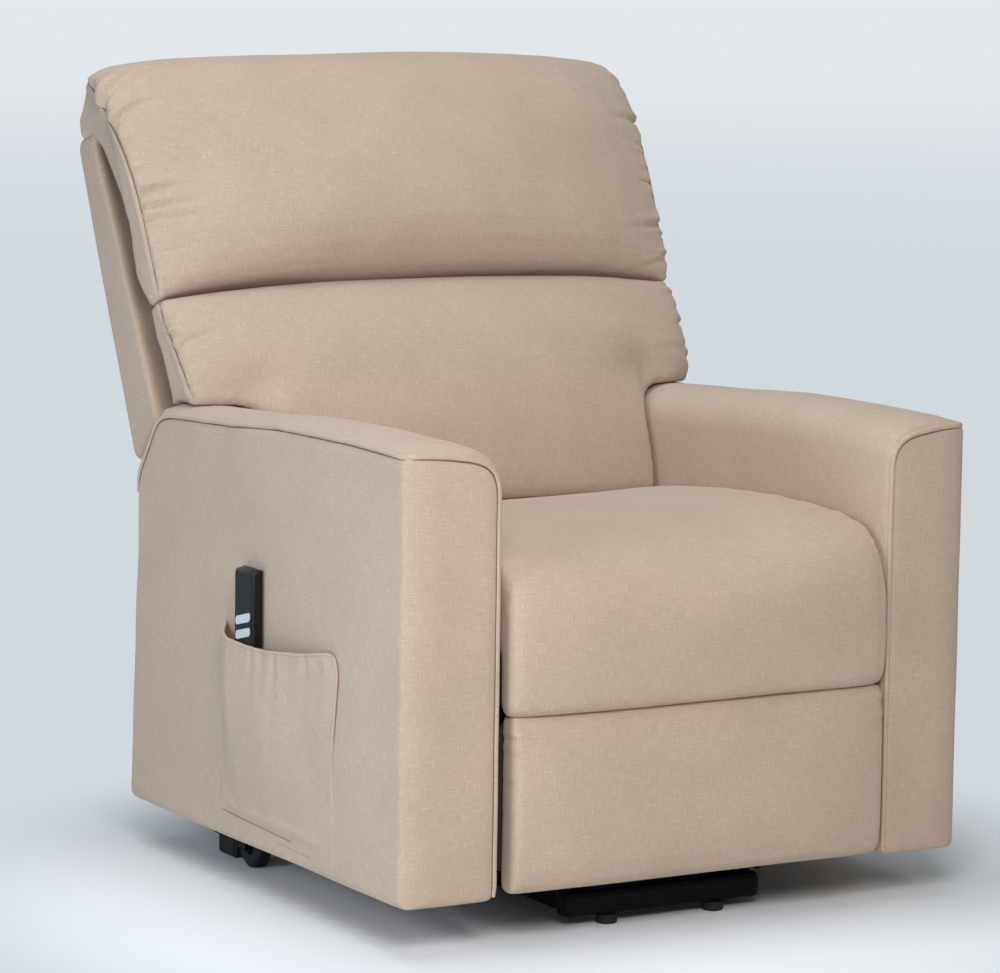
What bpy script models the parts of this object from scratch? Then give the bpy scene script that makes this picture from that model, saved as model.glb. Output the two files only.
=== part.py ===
"""Power lift recliner in metres, +Z up, front towards -Y, built piece by piece at rest.

Side-view points are (y, z) pairs: y runs rearward from the front of the arms and z up from the floor.
SHIFT moves everything at the end so that the origin is the middle of the footprint.
"""

from math import atan2, cos, hypot, pi, radians, sin

import bmesh
import bpy
from mathutils import Vector
from mathutils.geometry import tessellate_polygon

# Overall body
HALF_WIDTH = 0.410
ARM_WIDTH = 0.120
ARM_DEPTH = 0.765
ARM_BOTTOM = 0.060
ARM_ROUND = 0.040
ARM_RAKE = 0.024
ARM_CORNER, ARM_SLOPE = 0.509, 1.27
# Height of the arm's outer top edge along its depth, and how far its pad stands above that edge
ARM_EDGE = ((0.0, 0.6185), (0.15, 0.6210), (0.32, 0.6190), (0.46, 0.6090), (0.56, 0.6040), (0.64, 0.6005))
ARM_PAD = ((0.0, 0.0015), (0.012, 0.005), (0.045, 0.0110), (0.64, 0.0100))
INNER = HALF_WIDTH - ARM_WIDTH
GAP = 0.0003

# Seat
SIDE_CLEAR = 0.008
SEAT_HALF = INNER - SIDE_CLEAR
SEAT_UNDER = 0.3696
SEAT_LIP = 0.293

# Back, in its own leaning frame: s up along the back, t forward from its root
BACK_LEAN = radians(24.0)
BACK_ROOT = (0.780, 0.513)
BACK_FACE, BACK_REAR = 0.120, -0.010
SHELL_HALF = HALF_WIDTH - 0.014
SHELL_EDGE = 0.007
SHELL_LOW_HALF = SEAT_HALF - 0.006
SHELL_TOP = 0.472
SHELL_LOW = -0.100
CUSHION_HALF = HALF_WIDTH - 0.012
LUMBAR_LOW_HALF = INNER - 0.004
# The wings of the lumbar cushion end over the arms: lowest z, and lowest y + z behind them
WING_OVER, WING_PAST = 0.6150, 1.2955

# Footrest panel
FOOT_HALF = SEAT_HALF - 0.003
BOARD_HALF = FOOT_HALF - 0.015
FOOT_LOW, FOOT_HIGH = 0.070, 0.286
FOOT_BACK = 0.030

# Recline: back hinge, and the lever that drives the footrest
BACK_HINGE = (0.635, 0.395)
BACK_RANGE = 40.0
LEVER = (0.625, 0.295)
LEVER_EYE = (0.625, 0.259)
RECLINE_FOOT = (0.370, 0.195)

# Footrest linkage: rear link A-C, long link C-E, front link B-M
LINK_A = (0.125, 0.285)
LINK_B = (0.0737, 0.2878)
LINK_C = (0.2928, 0.1762)
LINK_E = (0.068, 0.185)
CROSSING = 0.30
REAR_TURN, LONG_TURN, FRONT_TURN, PANEL_TURN = 126.90, 41.62, 136.65, 86.0

# Lift: arms from ARM_PIVOT to ARM_END, links from TIE_PIVOT to TIE_END
ARM_PIVOT = (0.130, 0.055)
ARM_END = (0.550, 0.125)
TIE_PIVOT = (0.065, 0.060)
TIE_END = (0.280, 0.120)
LIFT_RANGE, TILT = 40.0, 25.0
TORQUE_TUBE = (0.190, 0.065)
CRANK_EYE = (0.1662, 0.1902)
LIFT_FOOT = (0.600, 0.070)
LIFT_X, RECLINE_X = -0.0465, 0.0550

# Side layers of the mechanism: the plate inside the seat rail, then the links inwards from it
RAIL_THICK = 0.0292
LINK_THICK = 0.0040
LINK_PITCH = 0.0050
PLATE_OUT = INNER - RAIL_THICK - 2 * GAP
PLATE_X = (PLATE_OUT - LINK_THICK, PLATE_OUT)
LAYER_1, LAYER_2, LAYER_3 = [
    (PLATE_X[0] - number * LINK_PITCH, PLATE_X[1] - number * LINK_PITCH) for number in (1, 2, 3)
]
PIN_ROOT = PLATE_X[0] + 0.0018
CROSS_FRONT, CROSS_REAR = (0.370, 0.240), (0.556, 0.196)
CROSS_RADIUS = 0.0125

# Base
RAIL_X = (0.100, 0.130)
FRONT_BAR_HALF = 0.146
REAR_BAR_HALF = 0.345
WHEEL = (0.330, 0.553, 0.030)
WHEEL_RADIUS, WHEEL_WIDTH = 0.030, 0.022

# Pocket and handset, on the -X arm
POCKET_Y = (0.174, 0.488)
POCKET_Z = (0.092, 0.347)
POCKET_BULGE = 0.026
POCKET_SHEET = 0.0025
HANDSET_Y = (0.370, 0.421)
HANDSET_Z = (0.262, 0.430)
HANDSET_THICK = 0.020
BUTTON_Z = (0.3645, 0.3455)
BUTTON_TRAVEL = 0.0012

SHIFT = Vector((0.0110, -0.4877, 0.0))

FINISHES = {
    "woven_fabric": ((0.55, 0.43, 0.31), 0.9, 0.0),
    "black_steel": ((0.02, 0.02, 0.022), 0.45, 0.6),
    "zinc_steel": ((0.60, 0.61, 0.62), 0.35, 1.0),
    "timber": ((0.55, 0.38, 0.22), 0.7, 0.0),
    "black_rubber": ((0.02, 0.02, 0.02), 0.85, 0.0),
    "black_plastic": ((0.015, 0.015, 0.017), 0.25, 0.0),
    "grey_plastic": ((0.62, 0.63, 0.62), 0.5, 0.0),
}


def clear_scene():
    for found in list(bpy.data.objects):
        bpy.data.objects.remove(found)


def finish_named(name):
    material = bpy.data.materials.get(name)
    if material:
        return material
    colour, rough, metal = FINISHES[name]
    material = bpy.data.materials.new(name)
    material.use_nodes = True
    shader = material.node_tree.nodes["Principled BSDF"]
    shader.inputs["Base Color"].default_value = (*colour, 1.0)
    shader.inputs["Roughness"].default_value = rough
    shader.inputs["Metallic"].default_value = metal
    return material


def solid(bm):
    """A loose object from bm, faces turned outward."""
    bmesh.ops.recalc_face_normals(bm, faces=bm.faces)
    mesh = bpy.data.meshes.new("shape")
    bm.to_mesh(mesh)
    bm.free()
    made = bpy.data.objects.new("shape", mesh)
    bpy.context.scene.collection.objects.link(made)
    return made


def combine(body, other, operation):
    """body with the Boolean of other applied; other is removed."""
    step = body.modifiers.new("cut", "BOOLEAN")
    step.operation = operation
    step.solver = "EXACT"
    step.object = other
    graph = bpy.context.evaluated_depsgraph_get()
    mesh = bpy.data.meshes.new_from_object(body.evaluated_get(graph))
    body.modifiers.clear()
    body.data = mesh
    bpy.data.objects.remove(other)
    return body


def joined(first, *others):
    for other in others:
        combine(first, other, "UNION")
    return first


def cut(body, *cutters):
    for cutter in cutters:
        combine(body, cutter, "DIFFERENCE")
    return body


def place(name, made, finish, origin=(0.0, 0.0, 0.0)):
    """Names a shape, gives it its finish and sets its origin, then moves it into the row frame."""
    made.name = name
    made.data.name = name
    made.data.materials.clear()
    made.data.materials.append(finish_named(finish))
    start = Vector(origin)
    for vertex in made.data.vertices:
        vertex.co -= start
    made.location = start + SHIFT
    return made


def box(lo, hi):
    bm = bmesh.new()
    bmesh.ops.create_cube(bm, size=1.0)
    for vertex in bm.verts:
        for axis in range(3):
            vertex.co[axis] = lo[axis] if vertex.co[axis] < 0 else hi[axis]
    return solid(bm)


def soft_box(lo, hi, radius, segments=2):
    """A box with rounded edges."""
    made = box(lo, hi)
    bm = bmesh.new()
    bm.from_mesh(made.data)
    bpy.data.objects.remove(made)
    bmesh.ops.bevel(bm, geom=bm.edges[:], offset=radius, segments=segments, profile=0.5, affect="EDGES")
    return solid(bm)


def circle(centre, radius, steps=20):
    return [
        (centre[0] + radius * cos(2 * pi * i / steps), centre[1] + radius * sin(2 * pi * i / steps))
        for i in range(steps)
    ]


def plate(outline, x_range, holes=()):
    """A flat plate: a (y, z) outline with holes, from one x to another."""
    loops = [list(outline)] + [list(hole) for hole in holes]
    flat = [[Vector((0.0, y, z)) for y, z in loop] for loop in loops]
    triangles = tessellate_polygon(flat)
    points = [point for loop in loops for point in loop]
    bm = bmesh.new()
    sides = [[bm.verts.new((x, y, z)) for y, z in points] for x in x_range]
    for triangle in triangles:
        for side in sides:
            bm.faces.new([side[i] for i in triangle])
    start = 0
    for loop in loops:
        count = len(loop)
        for i in range(count):
            a, b = start + i, start + (i + 1) % count
            bm.faces.new([sides[0][a], sides[0][b], sides[1][b], sides[1][a]])
        start += count
    return solid(bm)


def bar_outline(first, second, radius, steps=8):
    """The outline of a straight link with round ends."""
    turn = atan2(second[1] - first[1], second[0] - first[0])
    points = []
    for centre, start in ((second, turn - pi / 2), (first, turn + pi / 2)):
        for i in range(steps + 1):
            angle = start + pi * i / steps
            points.append((centre[0] + radius * cos(angle), centre[1] + radius * sin(angle)))
    return points


def disc(centre, radius, x_range, steps=20):
    return plate(circle(centre, radius, steps), x_range)


def tube_x(centre, radius, bore, x_range, steps=20):
    return plate(circle(centre, radius, steps), x_range, [circle(centre, bore, steps)])


def turned(profile, start, along, steps=20):
    """A solid of revolution: (distance, radius) pairs along a direction from start."""
    axis = Vector(along).normalized()
    side = Vector((1.0, 0.0, 0.0)) if abs(axis.x) < 0.9 else Vector((0.0, 0.0, 1.0))
    other = axis.cross(side).normalized()
    side = other.cross(axis)
    bm = bmesh.new()
    rings = []
    for distance, radius in profile:
        middle = Vector(start) + axis * distance
        rings.append([
            bm.verts.new(middle + radius * (cos(2 * pi * i / steps) * side + sin(2 * pi * i / steps) * other))
            for i in range(steps)
        ])
    for one, two in zip(rings, rings[1:]):
        for i in range(steps):
            bm.faces.new([one[i], one[(i + 1) % steps], two[(i + 1) % steps], two[i]])
    bm.faces.new(rings[0])
    bm.faces.new(rings[-1])
    return solid(bm)


def loft(sections):
    """A closed skin through loops of equal length, flat at both ends."""
    bm = bmesh.new()
    rings = [[bm.verts.new(point) for point in loop] for loop in sections]
    count = len(rings[0])
    for one, two in zip(rings, rings[1:]):
        for i in range(count):
            bm.faces.new([one[i], one[(i + 1) % count], two[(i + 1) % count], two[i]])
    bm.faces.new(rings[0])
    bm.faces.new(rings[-1])
    return solid(bm)


def swept(path, radius, sides=6):
    """A round wire along a flat path, in planes across the path."""
    bm = bmesh.new()
    rings = []
    for i, point in enumerate(path):
        before, after = path[max(i - 1, 0)], path[min(i + 1, len(path) - 1)]
        way = (Vector(after) - Vector(before)).normalized()
        up = Vector((0.0, 0.0, 1.0))
        across = way.cross(up).normalized()
        rings.append([
            bm.verts.new(
                Vector(point) + radius * (cos(2 * pi * k / sides) * across + sin(2 * pi * k / sides) * up)
            )
            for k in range(sides)
        ])
    for one, two in zip(rings, rings[1:]):
        for k in range(sides):
            bm.faces.new([one[k], one[(k + 1) % sides], two[(k + 1) % sides], two[k]])
    bm.faces.new(rings[0])
    bm.faces.new(rings[-1])
    return solid(bm)


def mirrored(x_range, side):
    """An x range given for the +X side, on the side asked for."""
    return tuple(sorted(side * x for x in x_range))


def mix(a, b, share):
    return a + (b - a) * share


def level(pairs, at):
    """Straight-line value from (place, value) pairs."""
    if at <= pairs[0][0]:
        return pairs[0][1]
    for (p, a), (q, b) in zip(pairs, pairs[1:]):
        if at <= q:
            return mix(a, b, (at - p) / (q - p))
    return pairs[-1][1]


def crown(share, flat=2.6, fall=0.6):
    """1 in the middle and 0 at the edge, falling steeply only near the edge."""
    return max(0.0, 1.0 - min(1.0, abs(share)) ** flat) ** fall


def on_back(s, t):
    """The (y, z) of a point of the leaning back."""
    return (
        BACK_ROOT[0] + s * sin(BACK_LEAN) - t * cos(BACK_LEAN),
        BACK_ROOT[1] + s * cos(BACK_LEAN) + t * sin(BACK_LEAN),
    )


STATIONS = (0.0, 0.2, 0.4, 0.58, 0.72, 0.83, 0.91, 0.96, 0.985, 0.997, 1.0)


def both_ways(shares, half):
    return [-half * u for u in reversed(shares[1:])] + [half * u for u in shares]


def add_base():
    front = soft_box(
        (-FRONT_BAR_HALF, 0.058, 0.0113), (FRONT_BAR_HALF, 0.088, 0.045), 0.008
    )
    place("base_front_bar", front, "black_steel")
    bar = box((-REAR_BAR_HALF, 0.615, 0.030), (REAR_BAR_HALF, 0.645, 0.060))
    lug = plate(bar_outline((0.628, 0.050), LIFT_FOOT, 0.014), (LIFT_X - 0.0125, LIFT_X - 0.0050))
    pin = disc(LIFT_FOOT, 0.006, (LIFT_X - 0.0060, LIFT_X + 0.0060))
    place("base_rear_bar", joined(bar, lug, pin), "black_steel")
    for side, word in ((1, "left"), (-1, "right")):
        rail = box(
            (min(side * RAIL_X[0], side * RAIL_X[1]), 0.0883, 0.014),
            (max(side * RAIL_X[0], side * RAIL_X[1]), 0.6147, 0.044),
        )
        ear = [
            (0.150, 0.040), (0.150, 0.062), (0.138, 0.072), (0.064, 0.074),
            (0.053, 0.067), (0.053, 0.054), (0.062, 0.0480), (0.118, 0.0470), (0.124, 0.040),
        ]
        lug = plate(ear, mirrored((0.1205, 0.1295), side))
        arm_pin = disc(ARM_PIVOT, 0.0075, mirrored((0.128, 0.1405), side))
        tie_pin = disc(TIE_PIVOT, 0.0060, mirrored((0.128, 0.1485), side))
        place(f"base_rail_{word}", joined(rail, lug, arm_pin, tie_pin), "black_steel")
        front_foot = turned(
            ((0.0, 0.0125), (0.002, 0.0140), (0.011, 0.0125)), (side * 0.080, 0.0690, 0.0), (0, 0, 1)
        )
        place(f"front_foot_{word}", front_foot, "black_rubber")
        rear_foot = soft_box(
            (side * 0.3125 - 0.0225, 0.606, 0.0), (side * 0.3125 + 0.0225, 0.656, 0.0297), 0.004, 1
        )
        place(f"rear_foot_{word}", rear_foot, "black_rubber")
        add_caster(side, word)


def add_caster(side, word):
    x, y, z = side * WHEEL[0], WHEEL[1], WHEEL[2]
    cheek = [(0.545, 0.019), (0.561, 0.019), (0.590, 0.032), (0.6147, 0.032), (0.6147, 0.060),
             (0.590, 0.060), (0.556, 0.046), (0.543, 0.036), (0.541, 0.026)]
    reach = WHEEL_WIDTH / 2 + 0.0015
    inner = plate(cheek, (x - reach - 0.003, x - reach))
    outer = plate(cheek, (x + reach, x + reach + 0.003))
    web = box((x - reach - 0.001, 0.605, 0.033), (x + reach + 0.001, 0.6147, 0.059))
    axle = disc((y, z), 0.004, (x - reach - 0.002, x + reach + 0.002))
    nut = disc((y, z), 0.0075, (min(x + side * (reach + 0.002), x + side * (reach + 0.0065)),
                                max(x + side * (reach + 0.002), x + side * (reach + 0.0065))), 6)
    fork = joined(inner, outer, web, axle, nut)
    place(f"caster_fork_{word}", fork, "black_steel")
    half = WHEEL_WIDTH / 2
    rim = ((-half, 0.0045), (-half, 0.026), (-half + 0.003, WHEEL_RADIUS), (half - 0.003, WHEEL_RADIUS),
           (half, 0.026), (half, 0.0045))
    place(f"caster_wheel_{word}", turned_ring(rim, (x, y, z), 32), "black_rubber", (x, y, z))


def turned_ring(profile, centre, steps):
    """A ring about the x direction from a closed (x, radius) profile."""
    bm = bmesh.new()
    rings = []
    for i in range(steps):
        angle = 2 * pi * i / steps
        rings.append([
            bm.verts.new((centre[0] + x, centre[1] + r * cos(angle), centre[2] + r * sin(angle)))
            for x, r in profile
        ])
    count = len(profile)
    for i in range(steps):
        one, two = rings[i], rings[(i + 1) % steps]
        for k in range(count):
            bm.faces.new([one[k], one[(k + 1) % count], two[(k + 1) % count], two[k]])
    return solid(bm)


def add_lift():
    for side, word in ((1, "left"), (-1, "right")):
        arm = plate(
            bar_outline(ARM_PIVOT, ARM_END, 0.015), mirrored((0.133, 0.139), side),
            [circle(ARM_PIVOT, 0.0078), circle(ARM_END, 0.0083)],
        )
        place(f"lift_arm_{word}", arm, "black_steel", (0.0, *ARM_PIVOT))
        tie = plate(
            bar_outline(TIE_PIVOT, TIE_END, 0.0125), mirrored((0.142, 0.147), side),
            [circle(TIE_PIVOT, 0.0063), circle(TIE_END, 0.0075)],
        )
        place(f"lift_tie_{word}", tie, "black_steel", (0.0, *TIE_PIVOT))
        hanger = plate(
            [(0.262, 0.108), (0.275, 0.098), (0.300, 0.100), (0.440, 0.172), (0.528, 0.112),
             (0.550, 0.101), (0.572, 0.112), (0.581, 0.190), (0.576, 0.212), (0.545, 0.222),
             (0.515, 0.216), (0.420, 0.226), (0.396, 0.258), (0.350, 0.262), (0.330, 0.210)],
            mirrored((0.150, 0.155), side),
            [circle(CROSS_FRONT, CROSS_RADIUS + GAP), circle(CROSS_REAR, CROSS_RADIUS + GAP)],
        )
        end_pin = disc(ARM_END, 0.008, mirrored((0.1315, 0.152), side))
        collar = disc(ARM_END, 0.0115, mirrored((0.1393, 0.152), side))
        tie_pin = disc(TIE_END, 0.005, mirrored((0.1405, 0.152), side))
        place(f"lift_hanger_{word}", joined(hanger, end_pin, collar, tie_pin), "black_steel")
    beam = disc(TORQUE_TUBE, CROSS_RADIUS, (-0.1327, 0.1327))
    crank = plate(bar_outline(TORQUE_TUBE, CRANK_EYE, 0.013), (LIFT_X - 0.0135, LIFT_X - 0.0055))
    place("lift_torque_tube", joined(beam, crank), "black_steel", (0.0, *ARM_PIVOT))
    add_actuator("lift", LIFT_FOOT, CRANK_EYE, LIFT_X, 1, (0.020, 0.095, 0.370), 0.180)
    add_actuator("recline", RECLINE_FOOT, LEVER_EYE, RECLINE_X, -1, (0.036, 0.086, 0.166), 0.142)


def add_actuator(word, foot, eye, x, motor_side, stops, inner_end):
    """A linear actuator: gear case, motor and outer tube as one body, and a rod with an eye.

    stops are where the gear case starts, where it ends and where the tube ends, from the foot.
    """
    gear_start, gear_end, tube_end = stops
    length = hypot(eye[0] - foot[0], eye[1] - foot[1])
    way = Vector((0.0, eye[0] - foot[0], eye[1] - foot[1])).normalized()
    start = Vector((x, *foot))
    neck = start + way * (gear_start + 0.012)
    ear = plate(bar_outline(foot, (neck.y, neck.z), 0.0125), (x - 0.0045, x + 0.0045))
    gear = turned(((gear_start, 0.026), (gear_start + 0.004, 0.030), (gear_end - 0.004, 0.030), (gear_end, 0.026)),
                  start, way)
    barrel = turned(((gear_end - 0.020, 0.0185), (tube_end - 0.004, 0.0185), (tube_end, 0.0165)), start, way)
    middle = start + way * ((gear_start + gear_end) / 2)
    motor = turned(((0.0, 0.021), (0.094, 0.021), (0.099, 0.017)), middle, (motor_side, 0, 0))
    body = joined(gear, ear, barrel, motor)
    bore = turned(((inner_end - 0.074, 0.0105), (tube_end + 0.01, 0.0105)), start, way, 16)
    eye_hole = disc(foot, 0.0065, (x - 0.02, x + 0.02), 16)
    place(f"{word}_actuator", cut(body, bore, eye_hole), "black_plastic", start)
    rod = turned(((inner_end, 0.010), (length - 0.052, 0.010)), start, way, 16)
    root = start + way * (length - 0.060)
    tongue = plate(bar_outline((root.y, root.z), eye, 0.008), (x - 0.0044, x + 0.0044))
    tip = disc(eye, 0.0125, (x - 0.0048, x + 0.0048))
    hole = disc(eye, 0.005, (x - 0.02, x + 0.02), 16)
    place(f"{word}_rod", cut(joined(rod, tongue, tip), hole), "zinc_steel", (x, *eye))


def add_frame():
    outline = [
        (0.032, 0.298), (0.060, 0.285), (0.110, 0.266), (0.340, 0.222), (0.520, 0.182), (0.556, 0.176),
        (0.584, 0.190), (0.612, 0.236), (0.660, 0.330), (0.662, 0.392), (0.655, 0.412), (0.637, 0.421),
        (0.618, 0.413), (0.604, 0.385), (0.585, 0.345), (0.555, 0.333), (0.050, 0.333), (0.034, 0.322),
    ]
    for side, word in ((1, "left"), (-1, "right")):
        sheet = plate(outline, mirrored(PLATE_X, side))
        rear_stud = disc(LINK_A, 0.006, mirrored((LAYER_1[0] - 0.0012, PIN_ROOT), side))
        front_stud = disc(LINK_B, 0.005, mirrored((LAYER_1[0] - 0.0012, PIN_ROOT), side))
        hinge_pin = disc(BACK_HINGE, 0.008, mirrored((LAYER_2[0] - 0.0032, PIN_ROOT), side))
        hinge_collar = disc(BACK_HINGE, 0.013, mirrored((LAYER_2[1] + GAP, PIN_ROOT), side))
        hinge_head = disc(BACK_HINGE, 0.012, mirrored((LAYER_2[0] - 0.0038, LAYER_2[0] - 0.0004), side))
        made = joined(sheet, rear_stud, front_stud, hinge_pin, hinge_collar, hinge_head)
        place(f"side_plate_{word}", made, "black_steel")
        rail = box(
            (min(side * (PLATE_OUT + GAP), side * (INNER - GAP)), 0.030, 0.300),
            (max(side * (PLATE_OUT + GAP), side * (INNER - GAP)), 0.585, SEAT_UNDER - GAP),
        )
        place(f"seat_rail_{word}", rail, "timber")
    front_tube = tube_x(CROSS_FRONT, CROSS_RADIUS, 0.0105, (-PLATE_X[0] + GAP, PLATE_X[0] - GAP))
    foot_lug = plate(
        bar_outline((CROSS_FRONT[0], CROSS_FRONT[1] - 0.0115), RECLINE_FOOT, 0.012),
        (RECLINE_X - 0.0130, RECLINE_X - 0.0050),
    )
    foot_pin = disc(RECLINE_FOOT, 0.006, (RECLINE_X - 0.0060, RECLINE_X + 0.0060))
    place("cross_tube_front", joined(front_tube, foot_lug, foot_pin), "black_steel")
    rear_tube = tube_x(CROSS_REAR, CROSS_RADIUS, 0.0105, (-PLATE_X[0] + GAP, PLATE_X[0] - GAP))
    place("cross_tube_rear", rear_tube, "black_steel")
    place("seat_rail_front", box((-PLATE_OUT, 0.0283, 0.3350), (PLATE_OUT, 0.0483, 0.3650)), "timber")
    place("seat_rail_rear", box((-PLATE_OUT, 0.5100, 0.3350), (PLATE_OUT, 0.5400, 0.3650)), "timber")
    for number, x in enumerate((-0.155, 0.0, 0.155), 1):
        place(f"seat_spring_{number}", seat_spring(x), "zinc_steel")


def seat_spring(x):
    """A flat zigzag wire from the front rail to the rear rail."""
    waves, steps, wide = 9, 5, 0.024
    first, last = 0.036, 0.530
    path = []
    for i in range(waves * steps + 1):
        share = i / (waves * steps)
        phase = pi * waves * share
        swing = sin(phase)
        path.append((x + wide * (abs(swing) ** 0.6) * (1 if swing >= 0 else -1), mix(first, last, share), 0.3673))
    return swept(path, 0.0018)


def add_seat():
    middle = [
        (0.556, SEAT_UNDER), (0.0280, SEAT_UNDER), (0.0280, 0.332), (0.0270, 0.299), (0.0190, SEAT_LIP),
        (0.0, SEAT_LIP - 0.0005), (-0.0110, 0.296), (-0.0185, 0.306), (-0.0215, 0.330), (-0.0225, 0.365),
        (-0.0215, 0.400), (-0.0170, 0.431), (-0.0065, 0.456), (0.0120, 0.475), (0.0400, 0.490),
        (0.0850, 0.499), (0.1500, 0.504), (0.2300, 0.506), (0.3200, 0.503), (0.4000, 0.497),
        (0.4600, 0.490), (0.5000, 0.481), (0.5280, 0.468), (0.5460, 0.449), (0.5560, 0.420),
    ]
    fixed = 5
    sections = []
    for x in both_ways(STATIONS, SEAT_HALF):
        share = crown(x / SEAT_HALF, 8.0, 0.50)
        loop = []
        for i, (y, z) in enumerate(middle):
            if i < fixed:
                loop.append((x, y, z))
                continue
            inward = 1.0 - share
            low = 0.015 * inward if z > 0.43 else 0.0
            back = 0.016 * inward if y < 0.02 else 0.0
            loop.append((x, y + back, z - low))
        sections.append(loop)
    place("seat_cushion", loft(sections), "woven_fabric")


def arm_section(y, outer_inset):
    """A (x, z) loop of the +X arm at depth y, from the outer bottom corner round over the top."""
    top = min(level(ARM_EDGE, y), ARM_CORNER + ARM_SLOPE * (ARM_DEPTH - y))
    rise = level(ARM_PAD, y)
    out, inn = HALF_WIDTH - outer_inset, INNER + outer_inset
    low = ARM_BOTTOM + outer_inset
    top -= outer_inset
    loop = [(out - 0.004, low), (out, low + 0.004), (out, top - 0.012), (out - 0.002, top - 0.003)]
    width = out - inn
    for share in (0.06, 0.16, 0.30, 0.45, 0.58, 0.68):
        loop.append((out - width * share, top + rise * sin(pi * min(1.0, share / 0.9)) ** 0.8))
    radius = ARM_ROUND
    for i in range(6):
        angle = pi / 2 * (i / 5)
        loop.append((inn + radius * (1 - sin(angle)), top + rise * 0.55 - radius * (1 - cos(angle))))
    loop += [(inn, top - 0.10), (inn, low + 0.004), (inn + 0.004, low)]
    return loop


def raked(y, z):
    """The rear of an arm leans forward: its upper corner stands ARM_RAKE ahead of its foot."""
    behind = max(0.0, (y - 0.5) / (ARM_DEPTH - 0.5))
    return y - ARM_RAKE * behind * min(1.0, max(0.0, (z - ARM_BOTTOM) / (ARM_CORNER - ARM_BOTTOM)))


def add_arms():
    stops = ((0.0, 0.0055), (0.0015, 0.0030), (0.005, 0.0010), (0.012, 0.0), (0.045, 0.0), (0.15, 0.0),
             (0.32, 0.0), (0.46, 0.0), (0.56, 0.0), (0.64, 0.0), (0.675, 0.0), (0.6935, 0.0), (0.71, 0.0),
             (0.735, 0.0), (0.755, 0.0), (0.761, 0.0010), (0.764, 0.0030), (ARM_DEPTH, 0.0055))
    for side, word in ((1, "left"), (-1, "right")):
        sections = [[(side * x, raked(y, z), z) for x, z in arm_section(y, inset)] for y, inset in stops]
        place(f"arm_{word}", loft(sections), "woven_fabric")


def pocket_face(u, v):
    """How far the outer skin of the pocket stands off the arm; u runs rearward and v upward."""
    side = min(1.0, u / 0.10, (1.0 - u) / 0.07)
    side = side * side * (3 - 2 * side)
    lift = min(1.0, v / 0.55)
    lift = lift * lift * (3 - 2 * lift)
    return POCKET_SHEET + GAP + (POCKET_BULGE - POCKET_SHEET - GAP) * side * lift


def add_pocket():
    across = (0.0, 0.03, 0.07, 0.10, 0.20, 0.35, 0.50, 0.65, 0.80, 0.93, 0.965, 1.0)
    upward = (0.0, 0.05, 0.14, 0.26, 0.38, 0.50, 0.62, 0.80, 0.93, 1.0)
    bm = bmesh.new()
    skins = []
    for inner in (0.0, POCKET_SHEET):
        rows = []
        for v in upward:
            row = []
            for u in across:
                sag = 0.013 * 4 * u * (1 - u) * max(0.0, (v - 0.5) / 0.5)
                y = mix(*POCKET_Y, u)
                z = mix(*POCKET_Z, v) - sag
                row.append(bm.verts.new((-HALF_WIDTH - pocket_face(u, v) + inner, y, z)))
            rows.append(row)
        skins.append(rows)
    high, wide = len(upward), len(across)
    for rows in skins:
        for j in range(high - 1):
            for i in range(wide - 1):
                bm.faces.new([rows[j][i], rows[j][i + 1], rows[j + 1][i + 1], rows[j + 1][i]])
    rim = [(0, i) for i in range(wide)] + [(j, wide - 1) for j in range(1, high)]
    rim += [(high - 1, i) for i in range(wide - 2, -1, -1)] + [(j, 0) for j in range(high - 2, 0, -1)]
    for (j, i), (k, m) in zip(rim, rim[1:] + rim[:1]):
        bm.faces.new([skins[0][j][i], skins[0][k][m], skins[1][k][m], skins[1][j][i]])
    place("side_pocket", solid(bm), "woven_fabric")


def lozenge(y, z, half_wide, half_high, slant):
    """A slanted button outline with cut corners; it rises towards the front."""
    points = []
    for sy, sz, first in ((-1, 1, True), (1, 1, False), (1, -1, True), (-1, -1, False)):
        near = [(sy * half_wide, sz * half_high * 0.45), (sy * half_wide * 0.86, sz * half_high)]
        for dy, dz in near if first else reversed(near):
            points.append((y + dy, z + dz - slant * dy))
    return points


def add_handset():
    near = -HALF_WIDTH - GAP
    far = near - HANDSET_THICK
    y0, y1 = HANDSET_Y
    z0, z1 = HANDSET_Z
    round_top = [(y0, z0 + 0.012), (y0 + 0.004, z0 + 0.004), (y0 + 0.012, z0), (y1 - 0.012, z0),
                 (y1 - 0.004, z0 + 0.004), (y1, z0 + 0.012), (y1, z1 - 0.018), (y1 - 0.004, z1 - 0.008),
                 (y1 - 0.013, z1 - 0.002), (y1 - 0.029, z1), (y0 + 0.013, z1 - 0.002),
                 (y0 + 0.004, z1 - 0.008), (y0, z1 - 0.018)]
    middle = ((y0 + y1) / 2, (z0 + z1) / 2)
    steps = ((near, 0.930), (near - 0.003, 0.985), (near - 0.007, 1.0), (far + 0.006, 1.0),
             (far + 0.002, 0.975), (far, 0.93))
    sections = [
        [(x, middle[0] + (y - middle[0]) * size, middle[1] + (z - middle[1]) * mix(1.0, size, 0.4))
         for y, z in round_top]
        for x, size in steps
    ]
    case = loft(sections)
    for z in BUTTON_Z:
        cut(case, plate(lozenge(middle[0], z, 0.0200, 0.0062, 0.25), (far - 0.01, far + 0.0030)))
    place("handset_case", case, "black_plastic", (near - HANDSET_THICK / 2, *middle))
    for number, z in enumerate(BUTTON_Z, 1):
        button = plate(lozenge(middle[0], z, 0.0195, 0.0057, 0.25), (far - 0.0015, far + 0.0015))
        place(f"handset_button_{number}", button, "grey_plastic", (far, middle[0], z))


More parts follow.
